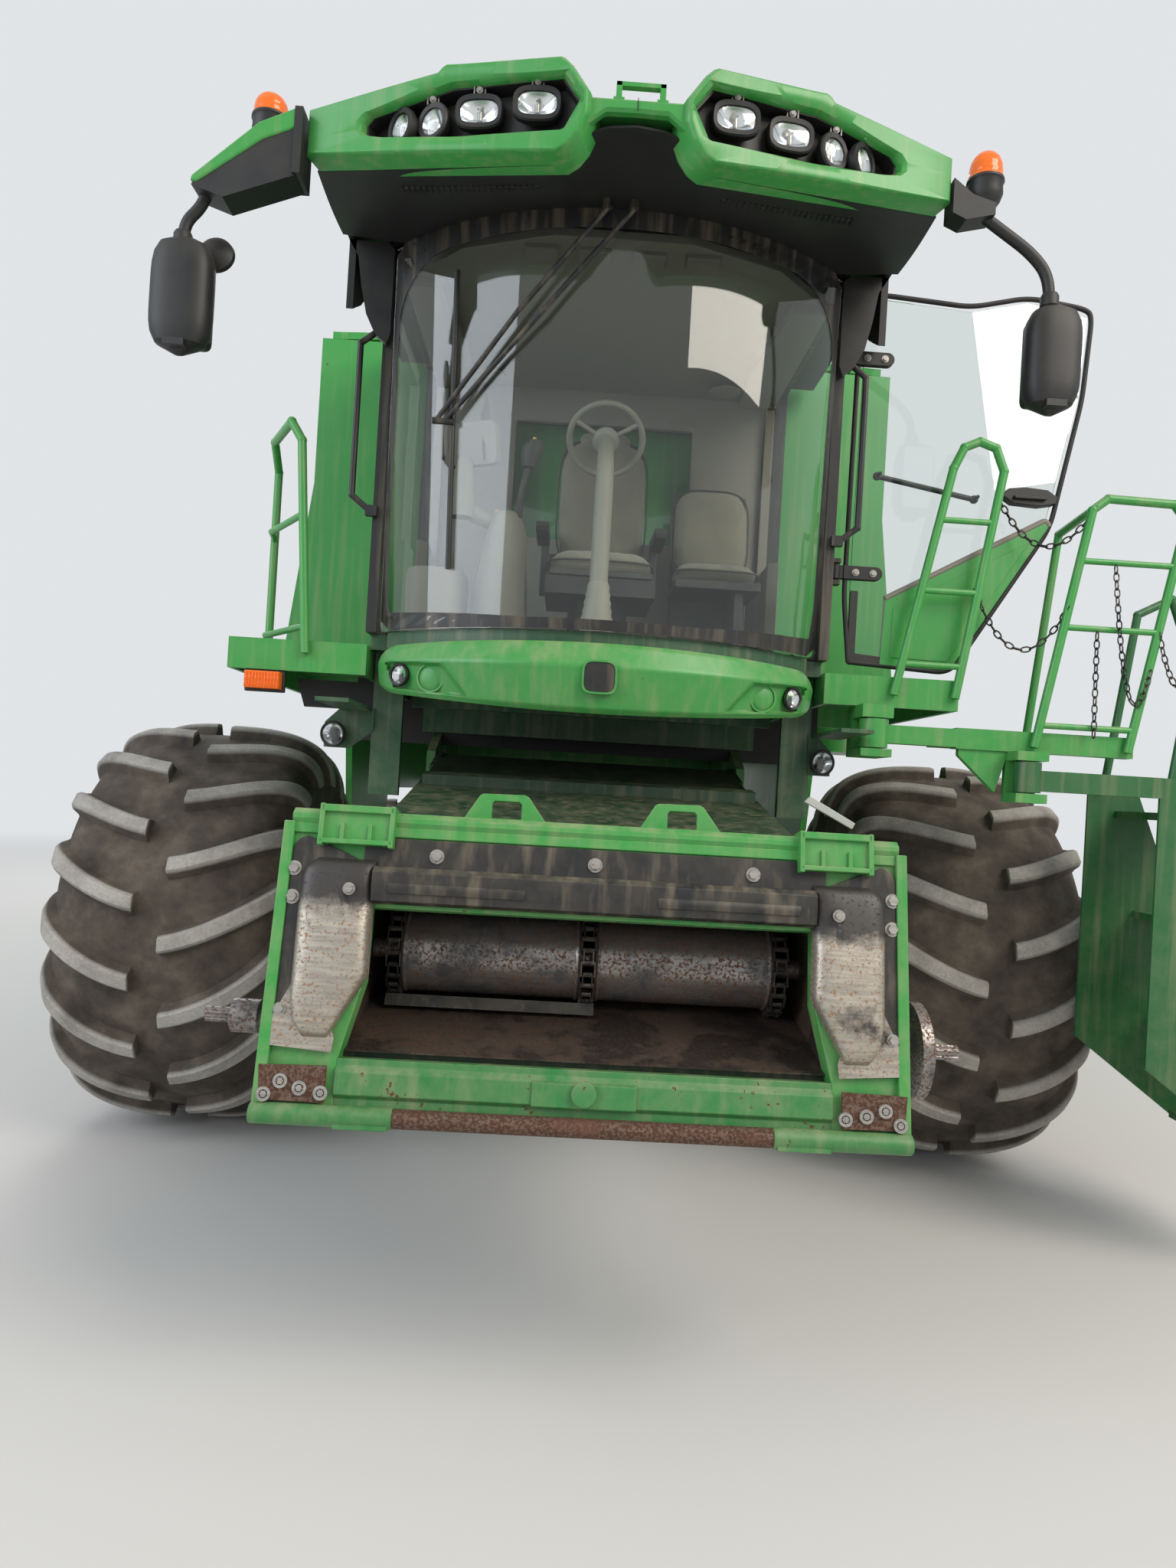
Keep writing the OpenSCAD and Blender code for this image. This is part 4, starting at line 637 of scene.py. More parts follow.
def piece(name, shapes, material, body, bevel=0.0, replaces=(), smooth=32):
    """A finished piece: shapes joined, faces turned outward, edges rounded by bevel millimetres.
    A piece that hangs between two bodies is given no body here."""
    points, faces = joined(shapes)
    mesh = new_mesh(name, place(points), faces)
    work = bmesh.new()
    work.from_mesh(mesh)
    bmesh.ops.recalc_face_normals(work, faces=work.faces)
    work.to_mesh(mesh)
    work.free()
    mesh.polygons.foreach_set("use_smooth", [True] * len(mesh.polygons))
    mesh.set_sharp_from_angle(angle=math.radians(smooth))
    mesh.materials.append(material)
    made = bpy.data.objects.new(name, mesh)
    bpy.context.scene.collection.objects.link(made)
    if bevel:
        edge = made.modifiers.new("edge", "BEVEL")
        edge.width, edge.segments, edge.limit_method = bevel * MM, 2, "ANGLE"
        edge.angle_limit, edge.harden_normals = math.radians(35), True
    if body:
        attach(made, body)
    if replaces:
        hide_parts(*replaces)
    return made


def hex_bolt(size, normal, at, washer=True):
    """A hexagon head size across with a washer, standing on a face at a place."""
    a = np.radians(np.arange(6) * 60)
    r = size / 2 / math.cos(math.pi / 6)
    head = slab(np.stack([r * np.cos(a), r * np.sin(a)], 1), -2.0, size * 0.55, "z")
    ring = turned([(size * 0.1, -2), (size * 0.85, -2), (size * 0.85, size * 0.12),
                   (size * 0.1, size * 0.12)], sides=16)
    return turned_to(joined([head, ring] if washer else [head]), normal, at)


print("shape helpers ready")

# %% [markdown]
# ## Field tyres
# The front tyres are as wide as a door: 1.2 m across, with a chevron of tall bars that clean
# themselves of mud. A casing is a superellipse turned about the axle. Each bar follows the
# casing from near the middle to the shoulder, bending forward, with chamfered flanks. The
# height above the casing is kept as an attribute, for the scuffed tops.

# %% Casing and bars of a tyre
# The casing: its points across and round, the width of its belly and its two powers
ACROSS, AROUND, BELLY_SHARE = 46, 120, 0.955
CROWN_POWER, WALL_POWER = 0.72, 0.52
# A bar: points along it, half width by radius, start and reach in radians, steps it bends by,
# where its height begins to fade and by how much
ALONG, BAR_SHARE = 22, 0.046
FIRST_BAR, BAR_REACH, BAR_BEND = 0.045, 1.17, 0.95
FADE_FROM, FADE_BY = 0.62, 0.55
# Across a bar: half widths from its middle and share of its height
FLANK = np.array([[-1.5, -0.2], [-1.1, 0.3], [-0.9, 0.8], [-0.62, 1.0], [0.62, 1.0],
                  [0.9, 0.8], [1.1, 0.3], [1.5, -0.2]])


def tyre_shape(radius, half_width, rim_radius, bars, bar_height):
    """Points, faces and wear of one tyre about the X axis, seen from the machine's left."""
    rise = radius - bar_height - rim_radius
    belly = half_width * BELLY_SHARE

    def casing(t):
        """t from 0 to pi runs bead to bead: x by a root of cosine, radius by a root of sine."""
        c, s = np.cos(t), np.sin(t)
        x = -belly * np.sign(c) * np.abs(c) ** CROWN_POWER * (0.86 + 0.14 * s)
        return x, rim_radius + rise * s ** WALL_POWER

    def at(x, r, a):
        """Radius and angle to a place; angle nought points forward, to -Y."""
        x, r, a = np.broadcast_arrays(x, r, a)
        return np.stack([x, -r * np.cos(a), -r * np.sin(a)], -1)

    t = np.linspace(0.0, np.pi, ACROSS)
    a = np.linspace(0, 2 * np.pi, AROUND, endpoint=False)
    x, r = casing(t)
    x = np.concatenate([x, [belly * 0.8, -belly * 0.8]])
    r = np.concatenate([r, [rim_radius - 3, rim_radius - 3]])
    ring = at(x[None], r[None], a[:, None])
    shapes = [(ring.reshape(-1, 3), grid_faces(*ring.shape[:2], True, True))]
    wear = [np.zeros(ring.size // 3)]
    wide, high = FLANK.T
    u = np.linspace(0, 1, ALONG)
    step = 2 * np.pi / bars
    bar_half = BAR_SHARE * radius * (0.9 + 0.35 * u)
    fade = (np.clip(u - FADE_FROM, 0, 1) / (1 - FADE_FROM)) ** 1.5
    tall = bar_height * np.where(u < FADE_FROM, 1.0, 1 - FADE_BY * fade)
    for side in (-1, 1):
        for i in range(bars):
            lead = (i + side / 4 + 0.25 - BAR_BEND * u ** 1.12) * step
            tt = np.pi / 2 + side * (FIRST_BAR + BAR_REACH * u)
            bx, br = casing(tt)
            bx2, br2 = casing(tt + 0.004)
            slope = unit(np.stack([bx2 - bx, br2 - br], -1))
            normal = np.stack([-slope[:, 1], slope[:, 0]], -1)
            normal *= np.sign(normal[:, 1:] + 1e-9)
            px = bx[:, None] + normal[:, :1] * tall[:, None] * high
            pr = br[:, None] + normal[:, 1:] * tall[:, None] * high
            pa = lead[:, None] + bar_half[:, None] * wide / pr
            px = np.clip(px, -half_width, half_width)
            shapes.append(lofted(at(px, np.minimum(pr, radius), pa)))
            wear.append(np.tile(np.clip(high, 0, 1), ALONG))
    points, faces = joined(shapes)
    return points, faces, np.concatenate(wear)


def tyre_piece(name, middle, side, radius, half_width, rim_radius, bars, bar_height, node, body):
    """One tyre as a piece, with its wear attribute."""
    points, faces, wear = tyre_shape(radius, half_width, rim_radius, bars, bar_height)
    made = piece(name, [(points * [side, 1, 1] + middle, faces)], tyre_rubber, body,
                 replaces=(node,), smooth=40)
    made.data.attributes.new("wear", "FLOAT", "POINT").data.foreach_set("value", wear)
    return made


# Half track, depth and height of each pair of wheels
HUBS = {"front": (1850, 0, 1000), "rear": (1500, 3550, 800)}
# Radius, half width, rim radius, bars a side and their height
TYRES = {"front": (1000, 600, 407, 18, 58), "rear": (800, 310, 382, 15, 44)}
for side, name in ((1, "left"), (-1, "right")):
    for end, (track, y, z) in HUBS.items():
        tyre_piece(f"{end}_tread_{name}", [side * track, y, z], side, *TYRES[end],
                   f"{end}_tyre_{name}", f"{end}_wheel_{name}")

# %% [markdown]
# ## Feeder face
# The header hooks onto a leaning steel frame round the feeder's mouth. It is welded from
# folded plates: upright flanges, a top beam with two hook brackets and two lifting lugs, a
# cross beam under the mouth and a round bar at the foot. It is drawn flat, with Z up the
# face, and then leaned back by its angle.

# %% The leaning face
BAR, LEAN = (0, -2680.0, 877.0), 11.3


def tipped(points, degrees):
    """Points turned about the X axis: y goes toward z."""
    c, s = math.cos(math.radians(degrees)), math.sin(math.radians(degrees))
    x, y, z = np.moveaxis(np.asarray(points, float), -1, 0)
    return np.stack([x, y * c - z * s, y * s + z * c], -1)


def on_face(shapes):
    """From the face's own plane to the drawing: lean back about the bar, then move to it."""
    return [(tipped(points, -LEAN) + BAR, faces) for points, faces in shapes]


def plate_with_window(outer, inner, low, high):
    """A plate with one hole: two outlines of as many points, joined ring by ring."""
    n = len(outer)
    points = np.concatenate([slab(line, low, high)[0] for line in (outer, inner)])
    k = np.arange(n)
    nxt = (k + 1) % n
    front = np.stack([k, nxt, 2 * n + nxt, 2 * n + k], 1)
    back = front[:, ::-1] + n
    rim = np.stack([k, n + k, n + nxt, nxt], 1)
    hole = rim[:, ::-1] + 2 * n
    return points, [list(f) for f in np.concatenate([front, back, rim, hole])]


lug_edge = [(-387, 806), (-340, 884), (-330, 890), (-212, 892), (-200, 886), (-142, 806)]
lug_window = [(-303, 820), (-303, 862), (-296, 870), (-226, 870), (-219, 862), (-219, 820)]
lug = plate_with_window(lug_edge, lug_window, 56, 76)
lug_right = (lug[0] + [501, 0, 0], lug[1])
hook = blocks((563, -30, 712, 762, 10, 726), (563, -30, 800, 762, 60, 820),
              (563, -16, 712, 762, 4, 812), (560, -30, 706, 574, 60, 822),
              (752, -30, 706, 766, 60, 822), (620, -26, 712, 632, 0, 770),
              (696, -26, 712, 708, 0, 770))
flange = slab([(838, -20), (870, -20), (866, 772), (836, 772)], -6, 90, "y")
web = slab([(612, 547), (612, 346), (660, 146), (660, -20), (840, -20), (837, 772), (612, 772)],
           14, 90, "y")
top_web = cuboid((-614, 14, 547), (614, 90, 772))
foot_beam = slab([(14, -16), (14, 44), (0, 54), (0, 112), (12, 128), (12, 146), (90, 146),
                  (90, -16)], -662, 662, "x")
boss_plate = slab([(-8, 50), (-8, 110), (2, 116), (2, 44)], -142, 137, "x")
boss = turned([(12, 0), (30, 0), (34, 4), (34, 16), (24, 18), (12, 18)], sides=28)
boss = turned_to(boss, (0, -1, 0), (-4, -8, 86))
top_beam = slab([(8, 766), (-2, 782), (-2, 796), (16, 812), (90, 812), (90, 766)], -846, 846, "x")
step_beam = slab([(4, 742), (14, 742), (14, 770), (4, 770)], -846, 846, "x")
saddle = slab([(30, -31), (-21, -31), (-21, 12), (-12, 17), (30, 17)], 510, 652, "x")
bar_sleeve = turned([(24, 500), (28, 500), (28, 868), (24, 872)], axis="x", sides=24)
green_face = [lug, lug_right, top_web, top_beam, step_beam] + both(flange) + both(web)
foot_steel = [foot_beam, boss_plate, boss] + both(saddle) + both(bar_sleeve)
for part in hook:
    green_face += both(part)
piece("feeder_face_frame", on_face(green_face), green_enamel, "feeder_house",
      bevel=3, replaces=("feeder_face",))
piece("feeder_foot_beam", on_face(foot_steel), foot_green_enamel, "feeder_house",
      bevel=3, replaces=("feeder_sill",))
rust_bar = turned([(10, -512), (25.5, -512), (25.5, 512), (10, 512)], axis="x", sides=32)
corner = slab([(682, 31), (851, 33), (860, 122), (684, 126)], -9, 4, "y")
piece("feeder_rusted_parts", on_face([rust_bar] + both(corner)), rusty_steel, "feeder_house",
      bevel=2)
print("feeder face built, leaning", LEAN, "degrees")

# %% [markdown]
# Deep-drawn covers stand at both sides of the mouth. Each is a closed section that changes
# with height: upright flank at the mouth, a round shoulder outside, and a foot that narrows.

# %% Drawn side covers, bolt plates and cross shield
def drawn_cover():
    """Sections at rising heights; a superellipse bulge of 44 mm between two edges."""
    rise = np.linspace(0, 1, 34)
    z = 196 + 478 * rise
    inner = np.interp(z, [196, 240, 365, 674], [690, 664, 596, 604])
    outer = np.interp(z, [196, 240, 300, 560, 640, 674], [756, 788, 800, 803, 800, 762])
    bulge = 44 * np.clip(np.sin(np.pi * np.clip(rise, 0, 1)), 0, 1) ** 0.28
    dent = 1 - 0.35 * np.exp(-((z - 560) / 30) ** 2)
    s = np.linspace(0, 1, 26)
    x = inner[:, None] + (outer - inner)[:, None] * s
    hump = np.clip(1 - np.abs(2 * s - 1) ** 5, 0, 1) ** 0.5
    front = -4 - bulge[:, None] * hump * (1 - 0.25 * s) * np.where(s > 0.35, 1, dent[:, None])
    front[:, 0] = -2
    ring_x = np.concatenate([x, x[:, ::-1]], 1)
    ring_y = np.concatenate([front, np.full_like(x, -1.0)], 1)
    return lofted(np.stack([ring_x, ring_y, np.broadcast_to(z[:, None], ring_x.shape)], -1))


cover_foot = slab([(676, 160), (846, 172), (842, 243), (800, 330), (740, 330), (690, 250),
                   (672, 196)], -5, -0.5, "y")
piece("drawn_side_covers", on_face(both(drawn_cover()) + both(cover_foot)), cover_steel,
      "feeder_house", replaces=("feeder_covers",), smooth=50)
bolt_plate = slab([(600, 655)] + [tuple(p) for p in arc((790, 690), 45, 80, 0, 6)]
                  + [(838, 300), (846, 240), (700, 240), (640, 330), (606, 380)], 2, 13, "y")
strip = cuboid((-640, 4, 655), (640, 13, 738))
shield_line = [(-1, 556), (-34, 562), (-44, 600), (-44, 640), (-30, 656), (-1, 660), (-1, 650),
               (-26, 646), (-34, 636), (-34, 602), (-28, 572), (-1, 566)]
shield = slab(shield_line, -606, 606, "x")
ribs = [slab([(-48, 590), (-44, 582), (-44, 612), (-48, 604)], x0, x1, "x")
        for x0, x1 in ((-560, -190), (170, 560))]
piece("feeder_black_plates", on_face(both(bolt_plate) + [strip, shield] + ribs), black_enamel,
      "feeder_house", bevel=2)
BOLT_PLACES = [(826, 642), (824, 564), (436, 694), (-441, 694), (-4, 695), (-826, 642), (-824, 564)]
COVER_BOLTS = [(663, 589), (822, 266), (740, 224)]
heads = [hex_bolt(24, (0, -1, 0), (x, 2, z)) for x, z in BOLT_PLACES]
for x, z in COVER_BOLTS:
    depth = -46 if z > 500 else -5
    heads += both(hex_bolt(20, (0, -1, 0), (x, depth, z)))
for x, z in ((691, 57), (747, 67), (798, 83), (838, 48)):
    ring = turned([(11, -3), (11, 7), (19, 7), (19, -3)], sides=20)
    heads += both(turned_to(ring, (0, -1, 0), (x, -9, z)))
    heads += both(hex_bolt(16, (0, -1, 0), (x, -8, z), False))
piece("feeder_face_bolts", on_face(heads), zinc_steel, "feeder_house")
print("covers, plates and", len(heads), "bolt heads")

# %% [markdown]
# Inside the mouth turns the drum, with three roller chains that run round it and angle-bar
# slats from chain to chain. The chains' shape is two round ends and two straight runs.

# %% Drum, chains and slats
DRUM_Y, DRUM_Z, DRUM_R = -2200.0, 1245.0, 125.0
REAR_Y, REAR_Z, REAR_R = -700.0, 1600.0, 117.0
CHAIN_LINKS, CHAIN_OFF_DRUM = 108, 15


def chain_path():
    """The chain's loop in Y-Z: tangent lines between two circles, sampled at even steps."""
    d = np.array([REAR_Y - DRUM_Y, REAR_Z - DRUM_Z])
    span, base = np.linalg.norm(d), math.atan2(d[1], d[0])
    big = DRUM_R + CHAIN_OFF_DRUM
    lean = math.acos((big - REAR_R) / span)
    a = np.linspace(base + lean, base + 2 * math.pi - lean, 60)
    b = np.linspace(base - lean, base + lean, 60)
    loop = np.concatenate([np.stack([DRUM_Y + big * np.cos(a), DRUM_Z + big * np.sin(a)], 1),
                           np.stack([REAR_Y + REAR_R * np.cos(b), REAR_Z + REAR_R * np.sin(b)], 1)])
    loop = np.concatenate([loop, loop[:1]])
    run = np.concatenate([[0], np.cumsum(np.linalg.norm(np.diff(loop, axis=0), axis=1))])
    at = np.linspace(0, run[-1], CHAIN_LINKS, endpoint=False)
    return np.stack([np.interp(at, run, loop[:, 0]), np.interp(at, run, loop[:, 1])], 1)


links = chain_path()
ahead = unit(np.roll(links, -1, 0) - links)
middle = (links + np.roll(links, -1, 0)) / 2
pitch = float(np.linalg.norm(links[1] - links[0]))


def chain_at(x):
    """Rollers at each joint and a pair of side plates for each link."""
    shapes = []
    for i in range(len(links)):
        wide = 20 if i % 2 else 14
        roller = [(2, -wide), (8, -wide), (8, wide), (2, wide)]
        shapes.append(turned(roller, (x, *links[i]), "x", 8))
        u, n = ahead[i] * pitch * 0.62, np.array([-ahead[i][1], ahead[i][0]]) * 9
        quad = [middle[i] - u - n, middle[i] + u - n, middle[i] + u + n, middle[i] - u + n]
        for s in (-1, 1):
            shapes.append(slab(quad, x + s * wide - 2, x + s * wide + 2, "x"))
    return shapes


piece("conveyor_chains", [s for x in (-575, 0, 575) for s in chain_at(x)], chain_steel,
      "feeder_house", replaces=("feeder_chain",))


def slat(link, x0, x1):
    """An angle bar across two chains at one link, and the four bolts that hold it."""
    p, u = middle[link], ahead[link]
    n = np.array([u[1], -u[0]])
    web = [p - u * 22 + n * 10, p + u * 22 + n * 10, p + u * 22 + n * 15, p - u * 17 + n * 15,
           p - u * 17 + n * 46, p - u * 22 + n * 46]
    bolts = [hex_bolt(16, (0, n[0], n[1]), (x, *(p + n * 15)))
             for x in (x0 + 18, x0 + 60, x1 - 60, x1 - 18)]
    return [slab(web, x0, x1, "x")], bolts


slat_bars, slat_bolts = [], []
for k in range(0, len(links), 9):
    bars, bolts = slat(k, *((-600, 25) if (k // 9) % 2 else (-25, 600)))
    slat_bars += bars
    slat_bolts += bolts
piece("conveyor_slats", slat_bars, black_enamel, "feeder_house")
piece("conveyor_slat_bolts", slat_bolts, zinc_steel, "feeder_house")
drum = [turned([(40, x0), (DRUM_R, x0), (DRUM_R, x1), (40, x1)], (0, DRUM_Y, DRUM_Z), "x", 64)
        for x0, x1 in ((-550, -28), (28, 550))]
drum += [turned([(20, x - 8), (DRUM_R + 2, x - 8), (DRUM_R + 6, x), (DRUM_R + 2, x + 8),
                 (20, x + 8)], (0, DRUM_Y, DRUM_Z), "x", 64) for x in (-548, -30, 30, 548)]
drum += [turned([(6, -660), (30, -660), (30, 660), (6, 660)], (0, DRUM_Y, DRUM_Z), "x", 24)]
SHAFT_Y, SHAFT_Z = -2400.0, 1060.0
for s in (-1, 1):
    a = np.repeat(np.arange(24), 2) * math.pi / 12 + np.tile([0, 0.14], 24)
    r = np.where(np.arange(48) % 4 < 2, 22.0, 19.0)
    spline = slab(np.stack([SHAFT_Y + r * np.cos(a), SHAFT_Z + r * np.sin(a)], 1),
                  *sorted((s * 1019, s * 1091)), "x")
    collar = turned([(10, 680), (35, 680), (35, 930), (48, 936), (48, 1012), (35, 1019),
                     (10, 1019)], (0, SHAFT_Y, SHAFT_Z), "x", 32)
    drum += [spline, collar if s > 0 else mirrored(collar)]
drum.append(turned([(30, 934), (118, 934), (140, 944), (140, 976), (118, 986), (30, 986)],
                   (0, SHAFT_Y, SHAFT_Z), "x", 56))
piece("feeder_drum_and_shafts", drum, drum_steel, "feeder_house",
      replaces=("feeder_drum",))
print("chain pitch", round(pitch, 1), "mm,", len(links), "links a loop")
# %% [markdown]
# ## Roof visor
# The roof ends in a moulded visor of two halves that turn back from the middle. Each half is
# a thick frame round a lamp recess. The frame is lofted through rings: every ring is the same
# fan of rays cut off by one outline, so that rings of different shape join without a twist.

# %% The visor's plane and its rings
VISOR_X, VISOR_Y, VISOR_TURN = 227.0, -2300.0, math.radians(17)


def from_visor(points):
    """Places on the left half's leaning plane to the drawing: a turn about Z at its inner end."""
    x, y, z = np.moveaxis(np.asarray(points, float), -1, 0)
    run, c, s = (x - VISOR_X) / math.cos(VISOR_TURN), math.cos(VISOR_TURN), math.sin(VISOR_TURN)
    return np.stack([VISOR_X + run * c - y * s, VISOR_Y + run * s + y * c, z], -1)


def cut_rays(outline, centre, angles):
    """Where rays from centre leave a closed outline: the farthest crossing with its edges."""
    a = np.asarray(outline, float)
    e, w = np.roll(a, -1, 0) - a, a - np.asarray(centre, float)
    d = np.stack([np.cos(angles), np.sin(angles)], 1)[:, None]
    area = d[..., 0] * e[None, :, 1] - d[..., 1] * e[None, :, 0]
    area = np.where(np.abs(area) < 1e-9, 1e-9, area)
    t = (w[:, 0] * e[:, 1] - w[:, 1] * e[:, 0])[None] / area
    s = (w[None, :, 0] * d[..., 1] - w[None, :, 1] * d[..., 0]) / area
    t = np.where((s > -1e-6) & (s < 1 + 1e-6) & (t > 0), t, -1).max(1)
    return np.asarray(centre, float) + d[:, 0] * t[:, None]


def grown(points, centre, by):
    """A ring moved outward along its rays by so many millimetres."""
    away = points - np.asarray(centre, float)
    return points + unit(away) * by


POD = [(150, 3864), (205, 3950), (232, 3979), (604, 4011), (618, 4004), (632, 3989), (1065, 3919),
       (1065, 3775), (239, 3690), (205, 3708), (176, 3742), (150, 3800)]
RECESS = [(238, 3930), (585, 3946), (640, 3934), (850, 3885), (872, 3862), (872, 3836), (850, 3818),
          (790, 3806), (250, 3760), (232, 3766), (184, 3852)]
POD_MIDDLE = (560.0, 3862.0)
corners = np.array(POD + RECESS, float) - POD_MIDDLE
rays = np.unique(np.round(np.concatenate([np.linspace(-math.pi, math.pi, 72, endpoint=False),
                                          np.arctan2(corners[:, 1], corners[:, 0])]), 4))
pod = cut_rays(POD, POD_MIDDLE, rays)
recess = cut_rays(RECESS, POD_MIDDLE, rays)
print("rays round the visor:", len(rays))

# %% [markdown]
# Behind the frame a cover closes the way back to the roof, and a low band crosses the middle,
# with an arch below it for the wipers and a small lifting loop on top.

# %% Frame, cover, band and loop
def visor_rings(outline, *rows):
    """Rings on the visor's plane: the outline grown by so much and pushed back by a depth."""
    rings = []
    for by, depth in rows:
        x, z = grown(outline, POD_MIDDLE, by).T
        rings.append(from_visor(np.stack([x, np.full(len(x), depth), z], -1)))
    return rings


def trimmed(shape):
    """Points past the roof's ends or under its front edge are brought back to them."""
    points = np.asarray(shape[0]).copy()
    points[:, 0] = np.clip(points[:, 0], -1065, 1065)
    points[:, 1] = np.minimum(points[:, 1], -1781)
    return points, shape[1]


outside = visor_rings(pod, (0, 128), (0, 16), (-8, 4), (-16, 1))
inside_rings = visor_rings(recess, (22, 5), (8, 14), (0, 34), (0, 128))
visor_frame = trimmed(lofted(outside + inside_rings, wrap=True))
top_x = np.array([150, 205, 232, 420, 604, 618, 632, 850, 1064], float)
top_z = np.array([3864, 3950, 3979, 3995, 4011, 4004, 3989, 3954, 3919], float)
front_edge = from_visor(np.stack([top_x, np.full(9, 126.0), top_z], -1))
front_edge[:, 0] = np.clip(front_edge[:, 0], 0, 1065)
v = np.linspace(0, 1, 9)
rise = 3972 - 12 * (np.abs(front_edge[:, 0]) / 1065) ** 2
edge_x, edge_y, edge_z = (front_edge[:, k:k + 1] for k in range(3))
upper = np.stack([np.broadcast_to(edge_x, (9, 9)), edge_y + (-1782 - edge_y) * v,
                  edge_z + (rise[:, None] - edge_z) * np.sin(v * math.pi / 2)], -1)
lower = upper[:, ::-1].copy()
lower[..., 2] = np.minimum(lower[..., 2] - 24, 3932)
visor_cover = lofted(np.concatenate([upper, lower], 1))
x = np.linspace(-152, 152, 33)
band_foot = np.interp(np.abs(x), [0, 96, 152], [3824, 3822, 3778])
band_lines = [(-2288, True, 0), (-2297, True, 9), (-2297, False, -10), (-2287, False, 0),
              (-1784, False, 20), (-1784, False, -4), (-2266, False, -22), (-2266, True, 0)]
band = [np.stack([x, np.full(33, y), np.zeros(33) + (band_foot if low else 3864) + dz], -1)
        for y, low, dz in band_lines]
middle_band = lofted(np.moveaxis(np.array(band), 0, 1))
loop = [cuboid((x0, -2284, 3862), (x0 + 18, -2262, 3922)) for x0 in (-68, 66)]
loop += blocks((-68, -2284, 3908, 84, -2262, 3922), (-76, -2290, 3860, -42, -2256, 3870),
               (58, -2290, 3860, 92, -2256, 3870))
piece("roof_visor_shell", both(visor_frame) + both(visor_cover) + [middle_band] + loop,
      green_enamel, "chassis", bevel=3, replaces=("roof_visor",), smooth=38)
lining = lofted(visor_rings(recess, (-0.5, 36), (-3, 92), (-10, 92), (-6, 36)), True)
backing = lofted(visor_rings(recess, (-1, 86), (-1, 92)))
seam = cuboid((-1.2, -2299, 3826), (1.2, -2296, 3864))
piece("visor_recess_lining", both(lining) + both(backing) + [seam], black_moulding, "chassis")
print("visor frame made, deepest ring", round(float(visor_frame[0][:, 1].max())), "mm")

# %% [markdown]
# Under the visor a black moulding runs back to the windscreen's head. It is a ruled surface:
# each point lies on a straight line between the visor's lip and the glass, with a little sag.
# Two grooved strips let the cab's air out, and a dark shield hides each upper corner.

# %% Brow panel, vents and corner shields
SCREEN_R, SCREEN_Y, SCREEN_FOOT = 1190.0, -1750.0, 2330.0


def screen_at(x, z, off=0.0):
    """A place on the curved windscreen: a cylinder about an upright axis that leans forward."""
    x, z = np.broadcast_arrays(np.asarray(x, float), np.asarray(z, float))
    y = (SCREEN_Y + SCREEN_R - np.sqrt((SCREEN_R + off) ** 2 - x ** 2)
         - (z - SCREEN_FOOT) * math.sin(math.radians(4)))
    return np.stack([x, y, z], -1)


x = np.linspace(-1044, 1044, 97)
lip = np.interp(np.abs(x), [0, 96, 152, 178, 206, 240, 1044],
                [3798, 3796, 3772, 3744, 3710, 3692, 3774])
lip_y = np.interp(np.abs(x), [0, 170, 1044], [-2262, -2240, -1950])
head = screen_at(np.clip(x, -845, 845) * 0.97, 3776, 6)
head[:, 1] = np.where(np.abs(x) > 860, np.interp(np.abs(x), [860, 1044], [head[0, 1], -1560]),
                      head[:, 1])
head[:, 0] = np.where(np.abs(x) > 860, x, head[:, 0])
v = np.linspace(0, 1, 12)[:, None]
panel = np.stack([x + (head[:, 0] - x) * v, lip_y + (head[:, 1] - lip_y) * v,
                  lip + (3780 - lip) * v ** 0.8 - 10 * np.sin(v * math.pi)], -1)
brow = lofted(np.moveaxis(np.concatenate([panel, panel[::-1] + [0, 0, 7]], 0), 0, 1))
vents = []
for side in (-1, 1):
    vx = np.linspace(300, 760, 24)
    at = np.stack([side * vx, np.interp(vx, [300, 760], [-2035, -1935]),
                   np.interp(vx, [300, 760], [3738, 3757])], -1)
    vents.append(tube(rounded(at, 5), 13, 10))
    vents += [cuboid(p - [2.5, 16, 8], p + [2.5, 16, 4]) for p in at[1::1] + [0, 0, -9]]
shield_line = [(-1048, 3826), (-1010, 3766), (-992, 3650), (-968, 3545), (-930, 3470), (-886, 3436),
               (-872, 3470), (-872, 3800), (-900, 3826)]
shields = both(slab(shield_line, -1440, -1408, "y")) + both(slab(
    [(-1440, 3826), (-1440, 3560), (-1300, 3640), (-1180, 3740), (-1100, 3826)], -1046, -1020, "x"))
piece("roof_brow_panel", [brow] + vents + shields, black_moulding, "chassis",
      smooth=40)
print("brow panel of", len(brow[1]), "faces")

# %% [markdown]
# ## Work lamps
# Four lamps sit in each recess: two wide ovals with clear glass and, outside them, two round
# ones that look outward. Each is a black bowl, a silvered reflector behind its bulb and a
# domed lens, all superellipses, hung from a small bracket with one bolt.

# %% Lamps from superellipse rings
def oval(half_w, half_h, y, power=2.6, sides=36):
    """A superellipse ring facing -Y at a depth."""
    a = np.linspace(0, 2 * np.pi, sides, endpoint=False)
    c, s = np.cos(a), np.sin(a)
    return np.stack([half_w * np.sign(c) * np.abs(c) ** (2 / power), np.full(sides, float(y)),
                     half_h * np.sign(s) * np.abs(s) ** (2 / power)], -1)


